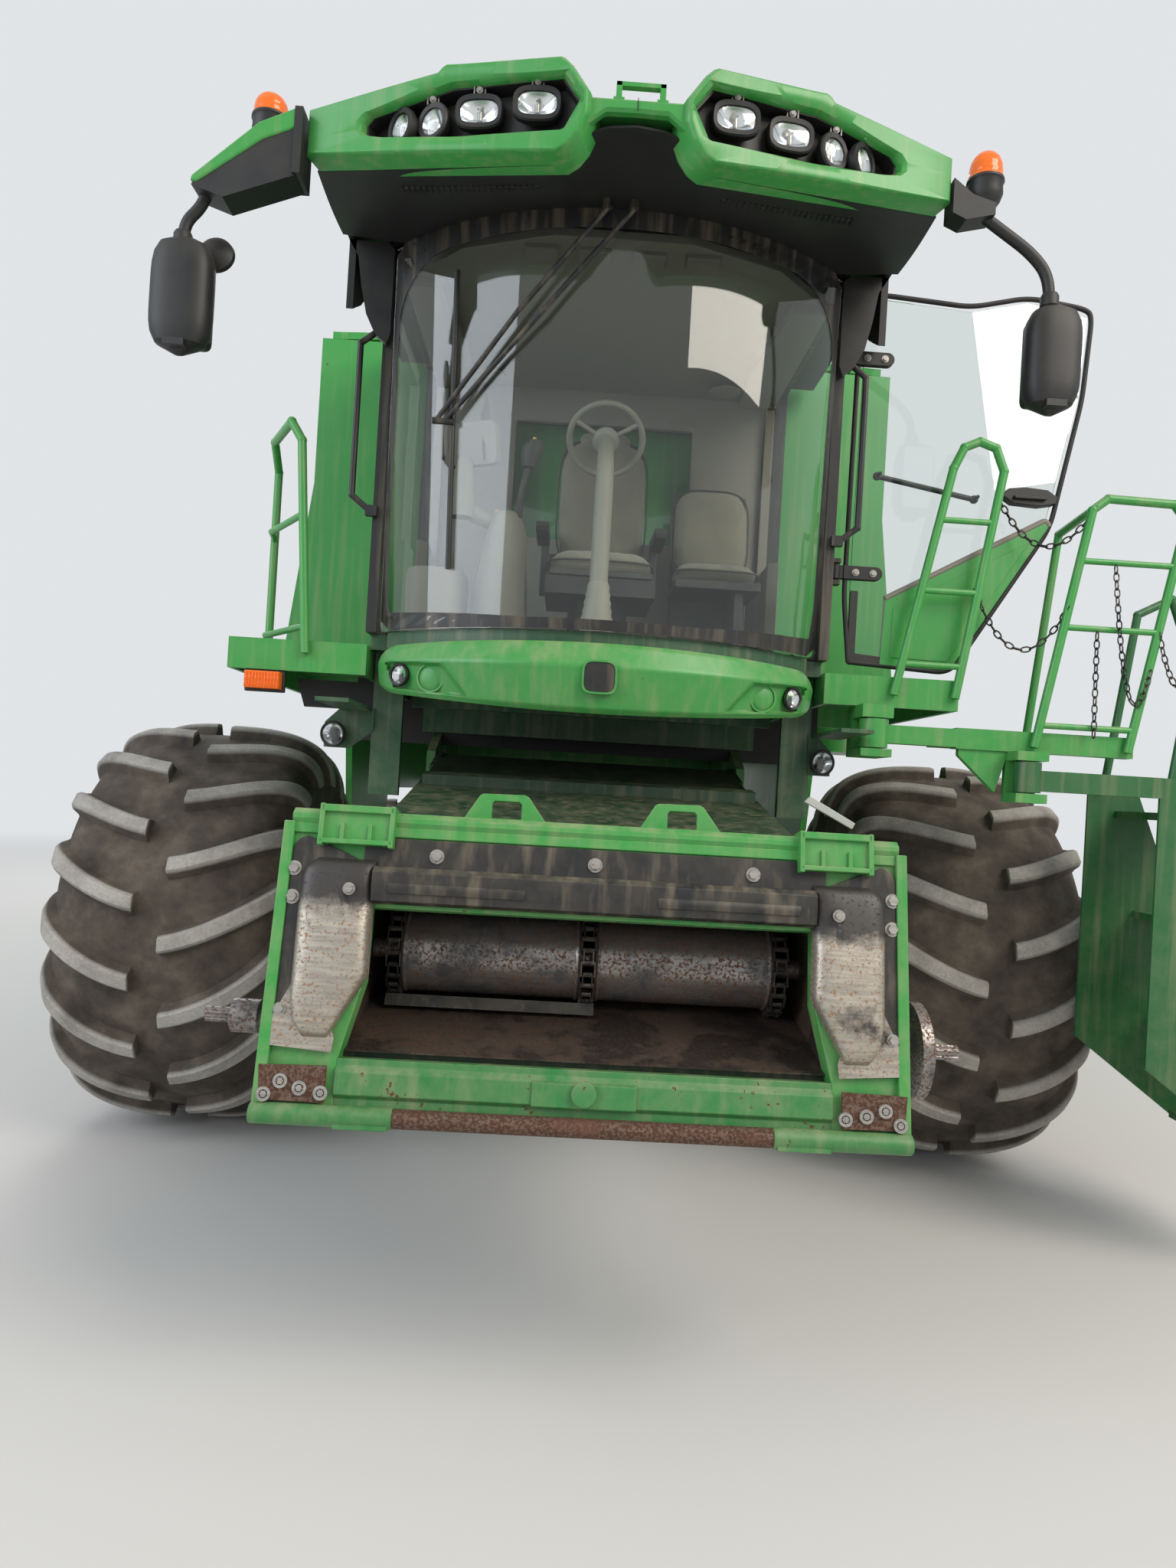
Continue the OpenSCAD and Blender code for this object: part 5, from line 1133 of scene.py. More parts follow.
def lamp_shapes(half_w, half_h, power, rim=15.0, depth=52.0):
    """Bowl, reflector, lens and bulb of one lamp about the origin, facing -Y."""
    w, h = half_w + rim, half_h + rim * 1.25
    bowl = lofted([oval(w * 0.45, h * 0.5, depth, power),
                   oval(w * 0.8, h * 0.85, depth * 0.8, power), oval(w, h, depth * 0.42, power),
                   oval(w, h, 4, power), oval(w - 4, h - 4, -2, power),
                   oval(half_w, half_h, 0, power), oval(half_w - 1, half_h - 1, 8, power),
                   oval(half_w * 0.98, half_h * 0.98, depth * 0.9, power)], True)

    def dish(inset, front, deep, shares):
        """A paraboloid dish 4 mm thick, from its rim in and back out again."""
        rings = [(front, k) for k in shares] + [(front + 4, k) for k in shares[::-1]]
        return lofted([oval((half_w - inset) * k, (half_h - inset) * k,
                            face + deep * (1 - k * k), power) for face, k in rings], True)

    mirror = dish(2, 9, depth * 0.62, np.linspace(1, 0.06, 9))
    dome = dish(1, 4, -9, np.linspace(1, 0.05, 7))
    bulb = turned([(2, -24), (9, -22), (9, 4), (5, 8)], (0, 22, 0), "z", 12)
    return bowl, mirror, dome, bulb


def aimed(shape, turn_deg, at, tip_deg=0.0):
    """A shape facing -Y tipped about X, turned outward about Z and moved to a place."""
    c, s = math.cos(math.radians(turn_deg)), math.sin(math.radians(turn_deg))
    swing = np.array([[c, -s, 0], [s, c, 0], [0, 0, 1]])
    return tipped(shape[0], tip_deg) @ swing.T + np.asarray(at, float), shape[1]


LAMPS = [(319, 3868, 62, 38, 3.0, 4), (503, 3866, 62, 38, 3.0, 8), (654, 3852, 43, 43, 2.0, 30),
         (762, 3848, 43, 43, 2.0, 42)]
bowls, mirrors_in, lenses, bulbs, hangers = [], [], [], [], []
for x, z, w, h, power, turn_deg in LAMPS:
    at = from_visor([x, 34, z])
    bowl, mirror, lens, bulb = (aimed(s, turn_deg, at) for s in lamp_shapes(w, h, power))
    bowls += both(bowl)
    mirrors_in += both(mirror)
    lenses += both(lens)
    bulbs += both(bulb)
    top = at + [0, 14, h + 16]
    for dx in (-17, 17):
        hangers += both(cuboid(top + [dx - 2, -12, -6], top + [dx + 2, 12, 26]))
    hangers += both(cuboid(top + [-17, -12, 22], top + [17, 22, 26]))
    hangers += both(hex_bolt(13, (0, -1, 0), top + [0, -14, 10]))
    hangers += both(cuboid(top + [-8, -12, 2], top + [8, -4, 20]))
piece("work_lamp_bowls", bowls, black_moulding, "chassis",
      replaces=("work_lamps",))
piece("work_lamp_reflectors", mirrors_in, reflector, "chassis")
piece("work_lamp_lenses", lenses, lamp_lens, "chassis")
piece("work_lamp_bulbs_and_bolts", bulbs + hangers, zinc_steel, "chassis")
print("work lamps:", 2 * len(LAMPS))
# %% [markdown]
# ## Windscreen edge and nose panel
# A black printed band follows the edge of the curved glass and hides its glue. Below it the
# nose is one curved moulding, shaped like a smile: tall at the middle, with a crease along
# its upper third and a hollow at each end for two round lamps.

# %% Printed band of the windscreen
middle_of_screen = (0.0, 3060.0)
BAND_OUT, BAND_IN = 3.5, 1.0
turn_about = np.linspace(-math.pi, math.pi, 120, endpoint=False)
edge = cut_rays([(-848, 2334), (848, 2334), (848, 3788), (-848, 3788)], middle_of_screen,
                turn_about)
inside = [(-812, 2400), (-300, 2372), (300, 2372), (812, 2400), (826, 2500), (826, 3420)]
inside += [tuple(p) for p in arc((610, 3490), 216, 0, 78, 9)] + [(300, 3716), (-300, 3716)]
inside += [tuple(p) for p in arc((-610, 3490), 216, 102, 180, 9)] + [(-826, 3420), (-826, 2500)]
pane = cut_rays(inside, middle_of_screen, turn_about)
print_band = lofted([screen_at(*line.T, off) for line, off in (
    (edge, BAND_OUT), (pane, BAND_OUT), (pane, BAND_IN), (edge, BAND_IN))], True)
piece("windscreen_printed_band", [print_band], black_enamel, "chassis", smooth=60)
print("band", len(turn_about), "points round")

# %% [markdown]
# The nose is a radius about the windscreen's own axis that changes with height. Its hollows
# are four-sided fields, deepened by the distance to their nearest edge.

# %% Nose panel
def quad_depth(u, v, quad):
    """How far inside a four-sided outline each point lies: the least distance to its edges."""
    least = np.full(u.shape, 1e9)
    for (u0, v0), (u1, v1) in zip(quad, quad[1:] + quad[:1]):
        e = np.array([(u1 - u0) * 843, (v1 - v0) * 200])
        least = np.minimum(least, (e[0] * (v - v0) * 200 - e[1] * (u - u0) * 843) / np.hypot(*e))
    return least


EYE_QUAD = [(-0.957, 0.36), (-0.676, 0.40), (-0.547, 0.93), (-0.905, 0.90)]


def nose_surface(u, v, back=0.0):
    """Height runs from a flat top edge to a sagging foot; the radius about the screen's axis
    swells to a crease at a third of the height, and both drop away round the ends."""
    x = 846 * u
    end = np.clip((np.abs(u) - 0.9) / 0.1, 0, 1) ** 2
    top = 2271 + 18 * (1 - u ** 2) - 26 * end
    foot = 2102 - 64 * (1 - u ** 2) + 30 * end
    radius = np.interp(v, [0, 0.05, 0.33, 0.37, 0.93, 1], [1198, 1208, 1236, 1237, 1210, 1196])
    hollow = np.clip(quad_depth(-np.abs(u), v, EYE_QUAD) / 10, 0, 1)
    radius = radius - back - 24 * hollow * hollow * (3 - 2 * hollow) - 34 * end
    y = SCREEN_Y + SCREEN_R - np.sqrt(np.maximum(radius ** 2 - x ** 2, 1.0))
    return np.stack(np.broadcast_arrays(x, y, top + (foot - top) * v), -1)


u, v = np.meshgrid(np.linspace(-1, 1, 181), np.linspace(0, 1, 44), indexing="ij")
nose = lofted(np.concatenate([nose_surface(u, v), nose_surface(u, v, 14.0)[:, ::-1]], 1))


def rim_and_plate(half_w, half_h, power, height, lip):
    """A raised rim round a sunk plate, facing up."""

    def rings(*rows):
        """Rings drawn in by an inset, each at its depth."""
        return [oval(half_w - inset, half_h - inset, y, power) for inset, y in rows]

    return (lofted(rings((0, 0), (0, -height), (lip, -height), (lip + 1, 0)), True),
            lofted(rings((lip + 1, 0), (lip + 1, 4 - height))))


caps, nose_bowls, nose_mirrors, nose_lenses = [nose], [], [], []
lamp_groups = (nose_bowls, nose_mirrors, nose_lenses, nose_bowls)
lamp_y = float(nose_surface(np.array(-0.86), np.array(0.62))[1]) - 14
for shape, group in zip(lamp_shapes(34.0, 34.0, 2.0, 9.0, 30.0), lamp_groups):
    group += both(aimed(shape, -28, (-846 * 0.884, lamp_y, 2158)))
cap_at = nose_surface(np.array(-0.728), np.array(0.64)) + [0, -2, 0]
cap = turned([(3, 8), (30, 7), (44, 3), (47, 0), (49, 0), (49, 6), (55, 6), (57, 0), (57, -26),
              (3, -26)], sides=40)
caps += both(turned_to(cap, (-0.30, -1, 0.0), cap_at))
badge_rim, badge_face = rim_and_plate(62, 60, 4.2, 15, 7)
badge_at = nose_surface(np.array(0.0), np.array(0.50)) + [0, 2, 0]
caps.append((badge_rim[0] + badge_at, badge_rim[1]))
piece("nose_panel_shell", caps, green_enamel, "chassis", replaces=("nose_panel",),
      smooth=34)
piece("nose_badge_blank", [(badge_face[0] + badge_at, badge_face[1])], black_enamel, "chassis")
print("nose panel", len(nose[1]), "faces, badge at", np.round(badge_at))

# %% [markdown]
# Two round lamps on arms look down at the header, and a block lens under the left deck
# flashes for a turn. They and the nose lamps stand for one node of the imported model.

# %% Header lamps and turn lamp
for side, x in ((-1, 1030), (1, 930)):
    at = np.array([side * x, -1312, 1930])
    for shape, group in zip(lamp_shapes(42, 42, 2.0, 8.0, 44.0), lamp_groups):
        group.append(aimed(shape, side * 6, at, 4))
piece("nose_and_header_lamp_bowls", nose_bowls, black_moulding, "chassis",
      replaces=("nose_lamps",))
piece("nose_and_header_reflectors", nose_mirrors, reflector, "chassis")
piece("nose_and_header_lenses", nose_lenses, lamp_lens, "chassis")
turn_lens = slab([(-1350, 2084), (-1216, 2084), (-1216, 2150), (-1350, 2150)], -1436, -1392, "y")
turn_ribs = [cuboid((x, -1440, 2088), (x + 5, -1434, 2146)) for x in range(-1344, -1220, 12)]
piece("turn_lamp_lens", [turn_lens] + turn_ribs, amber_lens, "chassis", bevel=6)
piece("turn_lamp_base", [cuboid((-1360, -1394, 2074), (-1206, -1372, 2160))], black_moulding,
      "chassis", bevel=4)
print("header lamps and turn lamp made")
# %% [markdown]
# ## Inside the cab
# Grey-brown mouldings line the cab: a rear wall round its window, the ceiling with its air
# vents and loudspeakers, and the posts. The operator sits behind a leaning wheel, with an
# arm pod that carries the drive lever and a screen on a stalk at the right, and a folding
# seat for an instructor at the left.

# %% Linings
wall_hole = [(-440, 3010), (440, 3010), (440, 3590), (-440, 3590)]
wall_edge = cut_rays([(-840, 2334), (840, 2334), (840, 3770), (-840, 3770)], (0, 3300), turn_about)
wall_pane = cut_rays(wall_hole, (0, 3300), turn_about)


def flat_ring(flat, y):
    """A ring in X-Z at one depth."""
    return np.column_stack([flat[:, 0], np.full(len(flat), float(y)), flat[:, 1]])


trim = [lofted([flat_ring(wall_edge, -262), flat_ring(wall_edge, -292),
                flat_ring(grown(wall_pane, (0, 3300), 30), -304), flat_ring(wall_pane, -292),
                flat_ring(wall_pane, -262)], True)]
head_line = [(-838, -1300), (-600, -1560), (-250, -1700), (250, -1700), (600, -1560), (838, -1300),
             (838, -292), (-838, -292)]
trim.append(slab(head_line, 3756, 3790, "z"))
for s in (-1, 1):
    trim.append(slab([(s * 838, -1330), (s * 700, -1330), (s * 640, -700), (s * 660, -320),
                      (s * 838, -320)], 3716, 3758, "z"))
    speaker = [(4, 0), (70, 0), (78, -8), (62, -14), (4, -8)]
    trim.append(turned(speaker, (s * 560, -520, 3716), "z", 32))
    trim.append(cuboid(*sorted(((s * 842, -330, 2362), (s * 796, -294, 3716)), key=lambda p: p[0])))
    post = [(s * 860, -300), (s * 820, -300), (s * 812, -520), (s * 860, -560)]
    trim.append(slab(post, 2362, 2900, "z"))
for x in range(-300, 301, 200):
    trim.append(cuboid((x - 60, -1640, 3738), (x + 60, -1560, 3757)))
piece("cab_linings", trim, cab_trim, "chassis", bevel=4)
mat_line = [(-838, -1330), (-700, -1420), (-400, -1610), (0, -1690), (400, -1610), (700, -1420),
            (838, -1330), (838, -300), (-838, -300)]
mat = [slab(mat_line, 2331, 2343, "z")]
mat += [cuboid((x, -1360, 2342), (x + 16, -320, 2348)) for x in range(-800, 800, 40)]
piece("cab_floor_mat", mat, floor_mat, "chassis")
print("linings made")

# %% [markdown]
# The wheel is a padded ring with three spokes on a leaning column with a rubber boot. The
# arm pod is a tall shell with a rounded back, drawn as stacked superellipses.

# %% Wheel, column, arm pod and screen
WHEEL, WHEEL_LEAN = np.array([-15.0, -1300.0, 3170.0]), 50


def on_wheel(shape):
    """From the wheel's own plane, Z along its column, to the drawing."""
    return tipped(shape[0], -WHEEL_LEAN) + WHEEL, shape[1]


a = np.linspace(0, 2 * np.pi, 72, endpoint=False)
grip = tube(np.stack([146 * np.cos(a), 146 * np.sin(a), 0 * a], -1), 12.5 + 0.7 * np.cos(24 * a),
            12, True)
wheel_parts = [on_wheel(grip)]
for angle in (90, 210, 330):
    t = math.radians(angle)
    reach = np.array([[30 * math.cos(t), 30 * math.sin(t), -6],
                      [90 * math.cos(t), 90 * math.sin(t), -10],
                      [140 * math.cos(t), 140 * math.sin(t), -2]])
    wheel_parts.append(on_wheel(tube(rounded(reach, 30), [10] * len(rounded(reach, 30)), 10)))
wheel_parts.append(on_wheel(turned([(3, 16), (38, 14), (52, 4), (54, -14), (40, -30), (34, -34)],
                                   sides=36)))
elbow = WHEEL - tipped([0, 0, 230], -WHEEL_LEAN)
neck = rounded([WHEEL - [0, 23, 20], elbow, elbow - [0, 0, 680]], 120, 12)
wheel_parts.append(tube(neck, np.linspace(31, 35, len(neck)), 24))
boot = [(37 + 30 * k + (5 if i % 2 else 0), 2560 - 215 * k)
        for i, k in enumerate(np.linspace(0, 1, 15))]
wheel_parts.append(turned(boot, (elbow[0], elbow[1], 0), "z", 32))
piece("steering_wheel_and_column", wheel_parts, cab_trim, "chassis",
      replaces=("steering_column",), smooth=45)


def level_oval(half_w, half_d, z=0.0, power=4.0, sides=64):
    """A superellipse ring square to Z at a height."""
    return oval(half_w, half_d, z, power, sides)[:, [0, 2, 1]]


def stacked(levels, power=3.0, sides=40):
    """Superellipses square to Z: each level gives x, y, z, half width and half depth."""
    return lofted([level_oval(w, d, z, power, sides) + [x, y, 0] for x, y, z, w, d in levels])


pod_shell = stacked([(-420, -930, 2335, 110, 250), (-420, -930, 2480, 112, 262),
                     (-418, -960, 2620, 104, 280), (-410, -980, 2760, 88, 270),
                     (-404, -985, 2856, 76, 258), (-402, -985, 2884, 62, 240),
                     (-402, -985, 2890, 40, 200)])
tub = [stacked([(-690, -1000, 2335, 120, 170), (-690, -1000, 2600, 128, 176),
                (-690, -1000, 2648, 122, 170), (-690, -1000, 2650, 90, 140)])]
lever = [tube(rounded([(-350, -1180, 2868), (-345, -1215, 2960), (-322, -1225, 3070)], 30), 13, 12),
         stacked([(-320, -1226, 3060, 26, 24), (-316, -1230, 3100, 38, 30),
                  (-306, -1232, 3140, 44, 34), (-300, -1232, 3166, 34, 28),
                  (-298, -1232, 3174, 14, 12)], 2.2)]
stalk = rounded([(-470, -1160, 2850), (-560, -1210, 2870), (-585, -1230, 2960),
                 (-575, -1245, 3080)], 40)
stalk_parts = [tube(stalk, np.linspace(34, 26, len(stalk)), 16),
               stacked([(-580, -1232, 2840, 46, 40), (-580, -1236, 2900, 54, 46),
                        (-578, -1240, 3000, 44, 40), (-575, -1245, 3070, 30, 26)], 2.2)]
screen_box = lofted([oval(118, 82, 0, 8), oval(124, 88, 10, 8), oval(124, 88, 34, 8),
                     oval(112, 76, 46, 8)])
SCREEN_POSE = -24, (-560, -1262, 3130), 12
screen_case = aimed(screen_box, *SCREEN_POSE)
piece("arm_pod_and_screen_stalk", [pod_shell] + tub + stalk_parts + [screen_case], cab_trim,
      "chassis", bevel=2, replaces=("control_console",), smooth=40)
buttons = [turned([(2, 6), (9, 5), (10, 0)], (x, y, 2889), "z", 12) for x in (-440, -412, -384)
           for y in (-1120, -1080, -1040)]
glass_face = aimed(lofted([oval(112, 76, 46.5, 8), oval(112, 76, 48, 8)]), *SCREEN_POSE)
black_bits = lever + buttons + [glass_face]
black_bits += [slab([(-500, 3060), (-486, 3240), (-500, 3330), (-520, 3240)], -1290, -1276, "y")]
piece("lever_and_buttons", black_bits, dark_trim, "chassis", smooth=45)
hand_marks = [turned([(2, 12), (7, 11), (8, 0)], (-302, -1240, 3170), "z", 12),
              cuboid((-452, -1150, 2888), (-436, -1138, 2904)),
              cuboid((-424, -1150, 2888), (-408, -1138, 2904))]
piece("yellow_switches", hand_marks, yellow_enamel, "chassis", bevel=1)
print("wheel and arm pod made, column foot at", np.round(elbow))

# %% [markdown]
# ## Seats
# A seat pad is foam under woven cloth: crowned, soft at its edges, with welts between its
# panels. The pad starts as a low dome on a superellipse, is swelled by a short cloth
# simulation with air pressure inside, and keeps the result as its mesh.

# %% Padded cushions
PAD_RINGS = 9


def pad_grid(half_w, half_d, thick):
    """Rings from the middle of the top out to the rim and back under: the height falls as the
    root of one less the sixth power of the reach, and the underside is its mirror image."""
    k = np.concatenate([np.linspace(0.08, 1, PAD_RINGS), np.linspace(1, 0.08, PAD_RINGS)])
    lift = np.sqrt(np.clip(1 - (k * 0.98) ** 6, 0, 1)) * thick / 2
    lift = np.where(np.arange(2 * PAD_RINGS) < PAD_RINGS, lift, -lift)
    return lofted([level_oval(half_w * share, half_d * share, height)
                   for share, height in zip(k, lift)])


VOXEL, PRESSURE, FRAMES = 0.009, 4.0, 20


def applied(made):
    """The object's mesh with its modifiers worked in; the modifiers are then taken off."""
    graph = bpy.context.evaluated_depsgraph_get()
    mesh = bpy.data.meshes.new_from_object(made.evaluated_get(graph))
    made.modifiers.clear()
    return mesh


def points_of(mesh):
    """The places of a mesh's points, one row each."""
    flat = np.empty(len(mesh.vertices) * 3)
    mesh.vertices.foreach_get("co", flat)
    return flat.reshape(-1, 3)


def swollen(made, cap_mm):
    """Voxel remesh, cloth with air pressure, movement capped, then one subdivision."""
    start = made.modifiers.new("even", "REMESH")
    start.mode, start.voxel_size = "VOXEL", VOXEL
    bpy.context.view_layer.update()
    even = applied(made)
    even.materials.clear()
    even.materials.append(made.data.materials[0])
    made.data = even
    cloth = made.modifiers.new("air", "CLOTH")
    cloth.settings.use_pressure = True
    cloth.settings.uniform_pressure_force = PRESSURE
    cloth.settings.effector_weights.gravity = 0.0
    before = points_of(even)
    for step in range(1, FRAMES + 1):
        bpy.context.scene.frame_set(step)
    puffed = applied(made)
    bpy.context.scene.frame_set(1)
    move = points_of(puffed) - before
    far = np.linalg.norm(move, axis=1, keepdims=True)
    capped = before + move * np.minimum(1.0, cap_mm * MM / np.maximum(far, 1e-9))
    puffed.vertices.foreach_set("co", capped.reshape(-1))
    made.data = puffed
    made.modifiers.new("finer", "SUBSURF").levels = 1
    bpy.context.view_layer.update()
    finer = applied(made)
    finer.polygons.foreach_set("use_smooth", [True] * len(finer.polygons))
    made.data = finer


def seat_pad(name, half_w, half_d, thick, at, tip_deg, replaces=()):
    """One cushion: tipped about X and set in place, then swollen."""
    points, faces = pad_grid(half_w, half_d, thick)
    made = piece(name, [(tipped(points, tip_deg) + at, faces)], seat_cloth, "chassis",
                 replaces=replaces, smooth=180)
    swollen(made, 9)
    return made


# Half width, half depth, thickness, place and lean of each pad
PADS = {
    "driver_seat_pad": (222, 180, 92, (0, -960, 2722), 0),
    "driver_back_pad": (205, 315, 84, (0, -625, 3100), 80),
    "driver_headrest_pad": (120, 62, 70, (0, -560, 3394), 80),
    "instructor_seat_pad": (190, 160, 70, (520, -760, 2760), 0),
    "instructor_back_pad": (180, 215, 66, (520, -560, 3010), 82),
}
welts = []
for name, pad in PADS.items():
    seat_pad(name, *pad, ("seat_cushions",) if name == "driver_seat_pad" else ())
    half_w, half_d, _, at, tip_deg = pad
    if name != "driver_headrest_pad":
        welts.append(tube(tipped(level_oval(half_w + 4, half_d + 4), tip_deg) + at, 4.5, 8, True))
piece("seat_welts", welts, dark_trim, "chassis", smooth=60)
back_line = [(-560, 2700), (-520, 2700), (-470, 3180), (-440, 3420), (-462, 3440), (-510, 3180)]
rest_line = [(-900, 2890), (-620, 2890), (-610, 2936), (-640, 2944), (-900, 2936), (-916, 2912)]
shells = [slab(back_line, -190, 190, "x")]
shells += blocks((-215, -1140, 2655, 215, -770, 2682), (330, -930, 2676, 710, -600, 2716))
shells.append(slab([(-520, 2716), (-490, 2716), (-484, 3200), (-508, 3210)], 345, 695, "x"))
shells += blocks((340, -620, 2345, 700, -580, 2700), (600, -900, 2345, 640, -620, 2690))
shells += both(slab(rest_line, 232, 290, "x"))
shells += both(cuboid((236, -640, 2660), (270, -600, 2900)))
piece("seat_shells_and_arms", shells, dark_trim, "chassis", bevel=6)
print("seats made")
# %% [markdown]
# ## Door
# The door is one big pane with a thin rubber edge. It hangs on two straps that wrap the
# corner post, has a bar across it to pull it shut and a latch case near its free edge, and a
# pressed green sheet with a grey capping covers its lower corner. It stands open in the
# photo, square to the machine, so its parts are drawn in that plane from the hinge pin.

# %% Door edge, lower sheet, straps, bar and latch
HINGE_X, HINGE_Y = 925, -1345
EDGE = [(72, 2336), (484, 2316), (853, 2920), (955, 3443), (977, 3776), (955, 3808), (717, 3838),
        (486, 3784), (118, 3808), (46, 3786), (41, 2600)]


def in_door(points, y=0.0):
    """From distances measured from the hinge pin in the door's plane to the drawing."""
    return [(HINGE_X + x, HINGE_Y + y, z) for x, z in points]


def door_plate(outline, low, high):
    """A plate that lies in the door's plane, from low to high across it."""
    return slab([(HINGE_X + x, z) for x, z in outline], HINGE_Y + low, HINGE_Y + high, "y")


seal = tube(rounded(in_door(EDGE + EDGE[:1]), 60, 8), 10, 10)
piece("door_edge_seal", [seal], black_seal, "cab_door", smooth=60)
sheet_line = [(196, 2330), (478, 2326), (846, 2922), (834, 2944), (206, 2592)]
proud_line = [(236, 2362), (462, 2358), (770, 2856), (236, 2556)]
foot_strip = door_plate([(66, 2330), (200, 2322), (200, 2364), (96, 2372), (96, 2618), (64, 2618)],
                        -8, 8)
piece("door_lower_sheet", [door_plate(sheet_line, -9, 12), door_plate(proud_line, -13, -8)],
      green_enamel, "cab_door", bevel=4, replaces=("door_frame",))
cap = tube(rounded(in_door([(206, 2596), (834, 2949), (850, 2926)]), 12, 4), 13, 10)
rim = tube(np.array(in_door([(203, 2330), (206, 2592)])), 7, 8)
piece("door_sheet_capping", [cap, rim], cab_trim, "cab_door", smooth=60)
straps, pins = [foot_strip], []
for z in (2690, 3545):
    line = [(30, z - 27), (160, z - 27), *arc((160, z), 27, -80, 80, 7), (160, z + 27),
            (30, z + 27)]
    straps += [door_plate(line, -17, -5), door_plate(line, 5, 14)]
    knuckle = [(12, -30), (21, -28), (21, 28), (12, 30)]
    straps.append(turned(knuckle, (HINGE_X, HINGE_Y, z), "z", 24))
    straps.append(cuboid((HINGE_X + 8, HINGE_Y - 12, z - 27), (HINGE_X + 40, HINGE_Y + 12, z + 27)))
    for x in (78, 148):
        pins.append(hex_bolt(17, (0, -1, 0), (HINGE_X + x, HINGE_Y - 17, z)))
pull = np.array(in_door([(160, 3097), (558, 3029)], 46))
straps.append(tube(pull, 11, 12))
for end in pull:
    straps.append(turned([(2, -17), (11, -14), (17, -5), (17, 5), (11, 14), (2, 17)], tuple(end),
                         "z", 20))
    straps.append(tube(np.array([end, end - [0, 44, 0]]), 8, 8))
latch = [(645, 3035), (672, 3064), (740, 3072), (828, 3066), (868, 3040), (862, 3012), (800, 3000),
         (690, 3006)]
straps.append(door_plate(latch, -24, 22))
straps.append(door_plate([(690, 3022), (820, 3022), (820, 3034), (690, 3034)], -38, -22))
piece("door_straps_bar_and_latch", straps, black_moulding, "cab_door", bevel=3)
piece("door_strap_bolts", pins, zinc_steel, "cab_door")
print("door edge", len(seal[0]), "points,", len(pins), "bolts")

# %% [markdown]
# ## Safety chains
# Loose chains of short oval links close the gaps between the rails. A chain that hangs from
# two points takes a curve close to a parabola for a small sag. Each link is a small oval
# ring, every second one turned by a quarter, drawn with few faces because there are hundreds.

# %% Chains between the rails
LINK_PITCH, LINK_LONG, LINK_WIDE, LINK_WIRE = 30.0, 19.0, 10.0, 3.2
LINK_SIDES, WIRE_SIDES = 10, 4


def hanging(a, b, sag):
    """Points on a line from a to b, let down by a parabola whose middle drops by the sag."""
    t = np.linspace(0, 1, 60)[:, None]
    drop = 4 * sag * t * (1 - t)
    return np.asarray(a, float) * (1 - t) + np.asarray(b, float) * t - [0, 0, 1] * drop


def chain(path):
    """Oval links carried along a path, one for each pitch of its length."""
    step = np.linalg.norm(np.diff(path, axis=0), axis=1)
    along = np.concatenate([[0], np.cumsum(step)])
    count = max(2, int(along[-1] / LINK_PITCH))
    at = np.linspace(0, along[-1], count + 1)
    centres = np.stack([np.interp((at[:-1] + at[1:]) / 2, along, path[:, k]) for k in range(3)], -1)
    ends = np.stack([np.interp(at, along, path[:, k]) for k in range(3)], -1)
    ahead = unit(ends[1:] - ends[:-1])
    side = unit(np.cross(ahead, np.where(np.abs(ahead[:, 2:]) > 0.9, [[0, 1.0, 0]], [[0, 0, 1.0]])))
    other = np.cross(ahead, side)
    turn = (np.arange(count) % 2)[:, None]
    flat = side * turn + other * (1 - turn)
    normal = np.cross(ahead, flat)
    a = np.linspace(0, 2 * np.pi, LINK_SIDES, endpoint=False)[:, None]
    b = np.linspace(0, 2 * np.pi, WIRE_SIDES, endpoint=False)[None]
    long = (LINK_LONG + LINK_WIRE * np.cos(b)) * np.cos(a)
    wide = (LINK_WIDE + LINK_WIRE * np.cos(b)) * np.sin(a)
    high = LINK_WIRE * np.sin(b) + 0 * long
    points = centres[:, None, None]
    for way, reach in ((ahead, long), (flat, wide), (normal, high)):
        points = points + way[:, None, None] * reach[None, ..., None]
    quads = grid_faces(LINK_SIDES, WIRE_SIDES, True, True)
    faces = [quad + LINK_SIDES * WIRE_SIDES * k for k in range(count) for quad in quads]
    return points.reshape(-1, 3), faces


RAIL = -1480 - 19
CHAINS = {
    "chain_upper_gap": ((1545, -1370, 3040), (1886, RAIL - 6, 2975), 185, "chassis", "landing"),
    "chain_lower_gap": ((1478, -1370, 2652), (1800, RAIL - 6, 2585), 205, "chassis", "landing"),
    "chain_on_landing": ((1960, RAIL - 22, 2744), (2118, RAIL - 22, 2350), 300, "landing", None),
    "chain_hanging_free": ((1904, RAIL - 18, 2484), (1912, RAIL - 18, 2080), 0, "landing", None),
    "chain_ladder_upper": ((2206, RAIL - 8, 2800), (2318, -1548, 2640), 60, "landing", "ladder"),
    "chain_ladder_lower": ((2150, RAIL - 8, 2500), (2272, -1548, 2320), 110, "landing", "ladder"),
}
for name, (high_end, low_end, sag, body, other) in CHAINS.items():
    path = hanging(high_end, low_end, sag)
    made = piece(name, [chain(path)], chain_steel, None if other else body,
                 smooth=60)
    if other:
        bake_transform(made)
    print(name, round(float(np.linalg.norm(np.diff(path, axis=0), axis=1).sum())), "mm")
# %% [markdown]
# ## Mirrors and beacons
# Long mirrors hang beside the cab. Their backs are deep rounded mouldings, drawn as stacked
# superellipses, with the silvered glass set in the side that faces the operator. The right
# one hangs from a tapered arm with a green cap, the left one from a bent tube. A turning
# beacon, a ribbed amber dome on a rubber foot, stands at each end of the roof.

